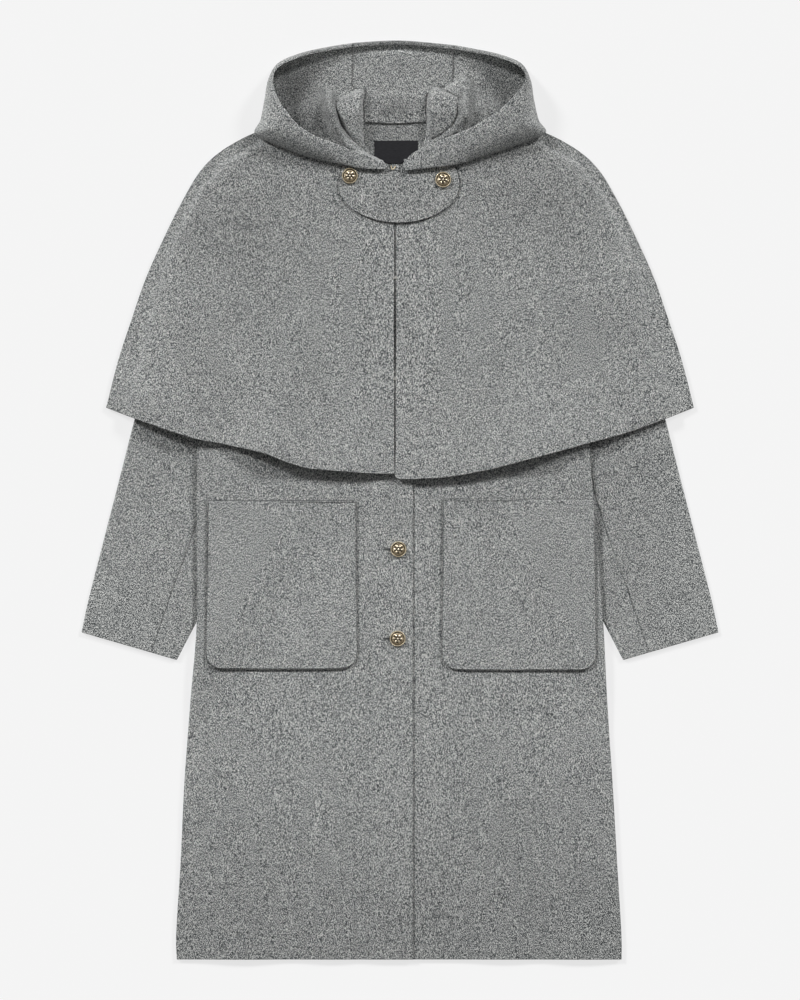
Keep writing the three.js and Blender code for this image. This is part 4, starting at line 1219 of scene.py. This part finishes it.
def make_label():
    x0, x1 = LABEL_X - LABEL_WIDTH / 2, LABEL_X + LABEL_WIDTH / 2
    us = np.linspace(0, 1, LABEL_POINTS)
    x, y = np.meshgrid(x0 + (x1 - x0) * us, LABEL_TOP - LABEL_HEIGHT * us)
    grid = np.stack([x, y, np.full_like(x, 2 * LEVEL + LABEL_THICKNESS)], axis=-1)
    cloth("neck_label", grid, LABEL_THICKNESS, "satin")


# Hood


def seam_x(y, side):
    """Where the seam of the centre strip lies on one side."""
    name = side_name(side)
    out_x, out_y, *_, neck_x, neck_y = (HOOD_RIGHT if side < 0 else HOOD_LEFT)[-1]
    down = (out_y - y) / (out_y - neck_y)
    return out_x + (neck_x - out_x) * down + read(SEAM_SHIFT[name], down)


def beside_seam(x, y):
    """0 at the seams of the centre strip, where the folds die out, and 1 away from them."""
    right = ease(seam_x(y, -1) - x, 0, 0.004)
    left = ease(x - seam_x(y, 1), 0, 0.004)
    return np.where(x < 0, right, left)


def hood_fold_height(x, y):
    best = folds_at(HOOD_RIDGES, x, y)
    for outline, heights in HOOD_LOBES:
        share = ease(inside(outline, x, y), -0.001, LOBE_EDGE)
        best = np.maximum(best, read(heights, y) * share)
    for width, _, points in HOOD_CREASES:
        best = best - CREASE_DEPTH * np.exp(-((away_from(points, x, y) / width) ** 2))
    return beside_seam(x, y) * np.maximum(best, 0)


def bezier(a, b, c, along):
    """Points on a curve from a to c that is pulled towards b."""
    t = np.asarray(along)[:, None]
    return a * (1 - t) ** 2 + 2 * b * t * (1 - t) + c * t * t


def hood_floor(x, y):
    """Points on the inner face of the hood."""
    x, y = np.asarray(x, float), np.asarray(y, float)
    return np.stack([x, y, under_hood(x, y) + hood_fold_height(x, y)], axis=-1)


def hood_section(row, stray):
    """One section, from the rim over the outer edge and back inside to the neck."""
    out_x, out_y, rim_x, rim_y, rim_z, neck_x, neck_y = row
    floor_z = float(under_hood(np.array(out_x), np.array(out_y)))
    out = np.array([out_x, out_y, floor_z + HOOD_TURN])
    below = np.array([out_x, out_y, floor_z])
    rim = np.array([rim_x, rim_y, rim_z])
    above = out + (rim - out) * RIM_ROLL
    above[2] = rim_z + 0.001
    inward = unit(np.array([neck_x - out_x, neck_y - out_y]))
    start = out[:2] + inward * HOOD_TURN * 1.3
    turn = bezier(out, below, hood_floor(*start), np.linspace(0, 1, TURN_POINTS + 1)[1:])
    past_rim = np.linspace(0.15, 1, BAND_POINTS - len(RIM_SHARES))
    lip = bezier(rim, above, out, [*RIM_SHARES, *past_rim])
    share = np.linspace(0, 1, HOOD_INNER_POINTS + 1)[1:]
    x = start[0] + (neck_x - start[0]) * share + stray(share)
    y = start[1] + (neck_y - start[1]) * share
    return np.concatenate([lip, turn, hood_floor(x, y)])


def hood_grid(rows, places, stray_at, apart=(0, 0)):
    """Sections at places between the rows of a table, with smooth steps from row to row."""
    table = np.array(rows, float)
    last = len(rows) - 1
    sections = []
    for place in places:
        i = min(int(place), last - 1)
        t = place - i
        a, b, c, d = (table[min(max(k, 0), last)] for k in (i - 1, i, i + 1, i + 2))
        bend = (2 * a - 5 * b + 4 * c - d) * t**2 + (3 * b - a - 3 * c + d) * t**3
        sections.append(b + 0.5 * ((c - a) * t + bend))
    for section, shift in ((sections[0], apart[0]), (sections[-1], apart[1])):
        section[[0, 2, 5]] += shift
    pairs = zip(sections, places)
    return np.stack([hood_section(section, stray_at(place)) for section, place in pairs])


def make_hood():
    last = len(HOOD_RIGHT) - 1
    near = np.array(HOOD_SEAM_STEPS)
    edge = near[-1]
    up = np.concatenate([np.linspace(0, last - edge, HOOD_SECTIONS)[:-1], last - near[::-1]])
    down = (last - up)[::-1]
    strip = [HOOD_RIGHT[-1], HOOD_TOP, HOOD_LEFT[-1]]
    middle = np.linspace(edge, 2 - edge, HOOD_STRIP_SECTIONS)[1:-1]
    across = np.concatenate([near, middle, 2 - near[::-1]])

    def shift(side, weight):
        return lambda share: weight * read(SEAM_SHIFT[side], share)

    def near_right(place):
        return shift("right", (place / last) ** 4)

    def near_left(place):
        return shift("left", (1 - place / last) ** 4)

    def between(place):
        right, left = shift("right", 1 - place / 2), shift("left", place / 2)
        return lambda share: right(share) + left(share)

    cloth("hood_side_right", hood_grid(HOOD_RIGHT, up, near_right))
    cloth("hood_center", hood_grid(strip, across, between, (HOOD_SEAM, -HOOD_SEAM)))
    cloth("hood_side_left", hood_grid(HOOD_LEFT[::-1], down, near_left))


# Trim


def button_relief(radius, angle):
    """How far a raised rim, a rope ring and a plain six-leaf rosette stand off the dome."""
    return sum(
        height * np.exp(-(((radius - middle) / half_width) ** 2)) * np.cos(swells * angle + turn)
        for middle, half_width, height, swells, turn in BUTTON_RELIEF
    )


def button_height(radius, angle):
    """Height of the dome with its relief, falling to the edge, as a share of the whole."""
    dome = 0.34 + 0.36 * np.cos(np.minimum(radius / 0.78, 1) * math.pi / 2)
    edge = 1 - 0.70 * ease(radius, 0.97, 1.0)
    return (dome + button_relief(radius, angle)) * edge


def make_button(name, place, seat_z):
    """A domed button with its relief, a flat back and a point in the middle of each."""
    turns = np.linspace(0, 2 * math.pi, BUTTON_TURNS + 1)[:-1]
    r, a = np.meshgrid(np.linspace(0.02, 1, BUTTON_RINGS), turns, indexing="ij")
    bottom_z = seat_z + GAP
    z = bottom_z + BUTTON_HEIGHT * np.clip(button_height(r, a), 0.12, 1.0)
    x = place[0] + BUTTON_RADIUS * r * np.cos(a)
    y = place[1] + BUTTON_RADIUS * r * np.sin(a)
    face = np.stack([x, y, z], axis=-1)
    back = face[-1].copy()
    back[:, 2] = bottom_z
    back[:, :2] = place + (back[:, :2] - place) * 0.94
    middles = [[*place, z[0].mean()], [*place, bottom_z]]
    points = np.concatenate([face.reshape(-1, 3), back, middles])
    index = np.arange(len(points) - 2).reshape(-1, BUTTON_TURNS)
    faces = bridge(index)
    top = len(points) - 2
    for i, following in zip(range(BUTTON_TURNS), np.roll(range(BUTTON_TURNS), -1)):
        faces.append([top, index[0, i], index[0, following]])
        faces.append([top + 1, index[-1, following], index[-1, i]])
    piece = make_mesh(name + "_gilt", points, faces, GILT)
    # The relief also sets the colour, with a painted highlight on the raised parts
    relief = 0.5 + button_relief(np.minimum(r, 0.925), a).ravel()
    side = np.full(BUTTON_TURNS, relief.mean())
    paint(piece, "relief", np.concatenate([relief, side, [relief[0], relief.mean()]]))
    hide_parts(name)


def seat_height(floor, place):
    x = place[0] + np.array([-BUTTON_RADIUS, BUTTON_RADIUS])
    return float(np.max(floor(x, np.full(2, place[1])))) + CLOTH


def make_buttons():
    for name, place in COAT_BUTTONS.items():
        make_button(name, np.array(place), seat_height(under_right_front, place))
    for name, place in TAB_BUTTONS.items():
        make_button(name, np.array(place), seat_height(on_cape, place))


def tube(name, route, radius, material, sides=8, smooth_route=True):
    """A round wire or thread that follows a route of points, with closed ends."""
    points = np.array(route, float)
    if smooth_route:
        line = smooth_line(points)
        points = line(np.linspace(0, 1, max(int(line.length / (radius * 1.5)), 4)))
    along = unit(grid_slopes(points[:, None])[0][:, 0])
    across = unit(np.cross(along, (0.02, 0.01, 1)))
    above = np.cross(across, along)
    turns = np.linspace(0, 2 * math.pi, sides + 1)[:-1]
    ring = np.cos(turns)[:, None] * across[:, None] + np.sin(turns)[:, None] * above[:, None]
    index = np.arange(len(points) * sides).reshape(-1, sides)
    faces = [*bridge(index), index[0].tolist(), index[-1, ::-1].tolist()]
    return make_mesh(name, points[:, None] + radius * ring, faces, material)


def make_hook():
    """The small gilt hook at the throat: a wire bent to a V."""
    x, y = HOOK_ROUTE[1]
    z = float(on_cape(np.array(x), np.array(y))) + CLOTH + GAP + HOOK_WIRE
    route = [(x, y, z) for x, y in HOOK_ROUTE]
    piece = tube("neck_hook_wire", route, HOOK_WIRE, wire_material())
    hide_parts("neck_hook")


def make_buttonhole(name, place):
    """A worked buttonhole: dark stitches round a slit that starts under the button, and a dark
    sheet in the slit that is a painted shadow.
    """
    x0, x1, y = place[0] + BUTTONHOLE[0], place[0] + BUTTONHOLE[1], place[1]
    middle = (x0 + x1) / 2
    z = float(under_right_front(np.array(x0), np.array(y))) + CLOTH
    turns = np.linspace(0, 2 * math.pi, BUTTONHOLE_TURNS + 1)
    x = middle + (x1 - x0) / 2 * np.cos(turns)
    rim = np.stack([x, y + BUTTONHOLE_HALF_WIDTH * np.sin(turns), np.full_like(x, z)], -1)
    tube(name + "_stitches", rim, THREAD, WORN_THREAD, smooth_route=False)
    # A dark sheet over the slit, a painted shadow
    slit = np.array([(middle, y, z), *rim[:-1]]) + (0, 0, SLIT_RISE)
    faces = [(0, i, i % BUTTONHOLE_TURNS + 1) for i in range(1, BUTTONHOLE_TURNS + 1)]
    make_mesh(name + "_slit", slit, faces, PAINTED_SHADOW)


def make_mouth_shadow(side):
    """A dark line along the folded top edge of a patch pocket, a painted shadow where its mouth
    meets the coat.
    """
    name = side_name(side)
    x0, x1, _, y1 = POCKETS[name]
    front = under_right_front if side < 0 else under_left_front
    x = np.linspace(x0 + POCKET_LINE_INSET, x1 - POCKET_LINE_INSET, MOUTH_POINTS)
    y = np.full_like(x, y1 + MOUTH_SHADOW)
    route = np.stack([x, y, front(x, y) + CLOTH], -1)
    tube(f"pocket_{name}_mouth_shadow", route, MOUTH_SHADOW, PAINTED_SHADOW, sides=6, smooth_route=False)


def make_tacks():
    """Pale stitches that tack the cape's front edges together above and below the slit."""
    for name, y in SLIT_TACKS.items():
        for i, step in enumerate((-1, 0, 1)):
            along = y + step * THREAD * 2.4
            x = CAPE_CENTRE_X + np.linspace(-1, 1, TACK_POINTS) * TACK_HALF_LENGTH
            z = under_cape_front(x, np.full_like(x, along)) + CLOTH
            arch = z + THREAD * (0.2 + 1.1 * np.cos(np.linspace(-1.3, 1.3, TACK_POINTS)))
            route = np.stack([x, along + 0.0004 * np.sin(x * 900), arch], -1)
            tube(f"{name}_{i + 1}", route, THREAD, PALE_THREAD)


# Camera, floor and light


def make_floor():
    corners = [(x, y, -FLOOR_DROP) for x, y in ((-1, -1), (1, -1), (1, 1), (-1, 1))]
    corners = np.array(corners) * (FLOOR_REACH, FLOOR_REACH, 1)
    material = new_material(
        "pale_floor",
        Base_Color=(*FLOOR_COLOUR, 1),
        Roughness=0.9,
        Emission_Color=(1, 1, 1, 1),
        Emission_Strength=FLOOR_GLOW,
    )[0]
    add_object("floor", new_mesh("floor", corners, [(0, 1, 2, 3)], material))


def make_camera():
    data = bpy.data.cameras.new("camera")
    data.sensor_fit = "VERTICAL"
    data.sensor_height = SENSOR
    data.sensor_width = SENSOR
    data.lens = SENSOR * CAMERA_HEIGHT / PHOTO_HEIGHT
    camera = add_object("camera", data)
    camera.location = (0, 0, CAMERA_HEIGHT)
    bpy.context.scene.camera = camera


def add_light(name, towards, spread, strength):
    """A far, wide studio lamp. towards is the direction from the coat to the lamp."""
    data = bpy.data.lights.new(name, "SUN")
    data.angle = math.radians(spread)
    data.energy = strength
    light = add_object(name, data)
    light.rotation_mode = "QUATERNION"
    light.rotation_quaternion = Vector(towards).to_track_quat("Z", "Y")
    light.location = towards


def make_world():
    world = bpy.data.worlds.new("studio")
    world.use_nodes = True
    set_inputs(world.node_tree.nodes["Background"], Color=(1, 1, 1, 1), Strength=WORLD_STRENGTH)
    bpy.context.scene.world = world


make_camera()
make_world()
make_floor()
for lamp, (towards, strength) in LAMPS.items():
    add_light(lamp, towards, LAMP_SPREAD, strength)

make_cape_back()
make_coat_back()
for side in (-1, 1):
    make_sleeve(side)
    make_coat_front(side)
    make_pocket(side)
    make_mouth_shadow(side)
    make_cape_front(side)
make_tab()
make_hood()
make_label()
make_buttons()
make_hook()
for name, place in COAT_BUTTONS.items():
    make_buttonhole(name.replace("button", "buttonhole"), place)
make_tacks()

bpy.context.scene.view_settings.view_transform = "Standard"
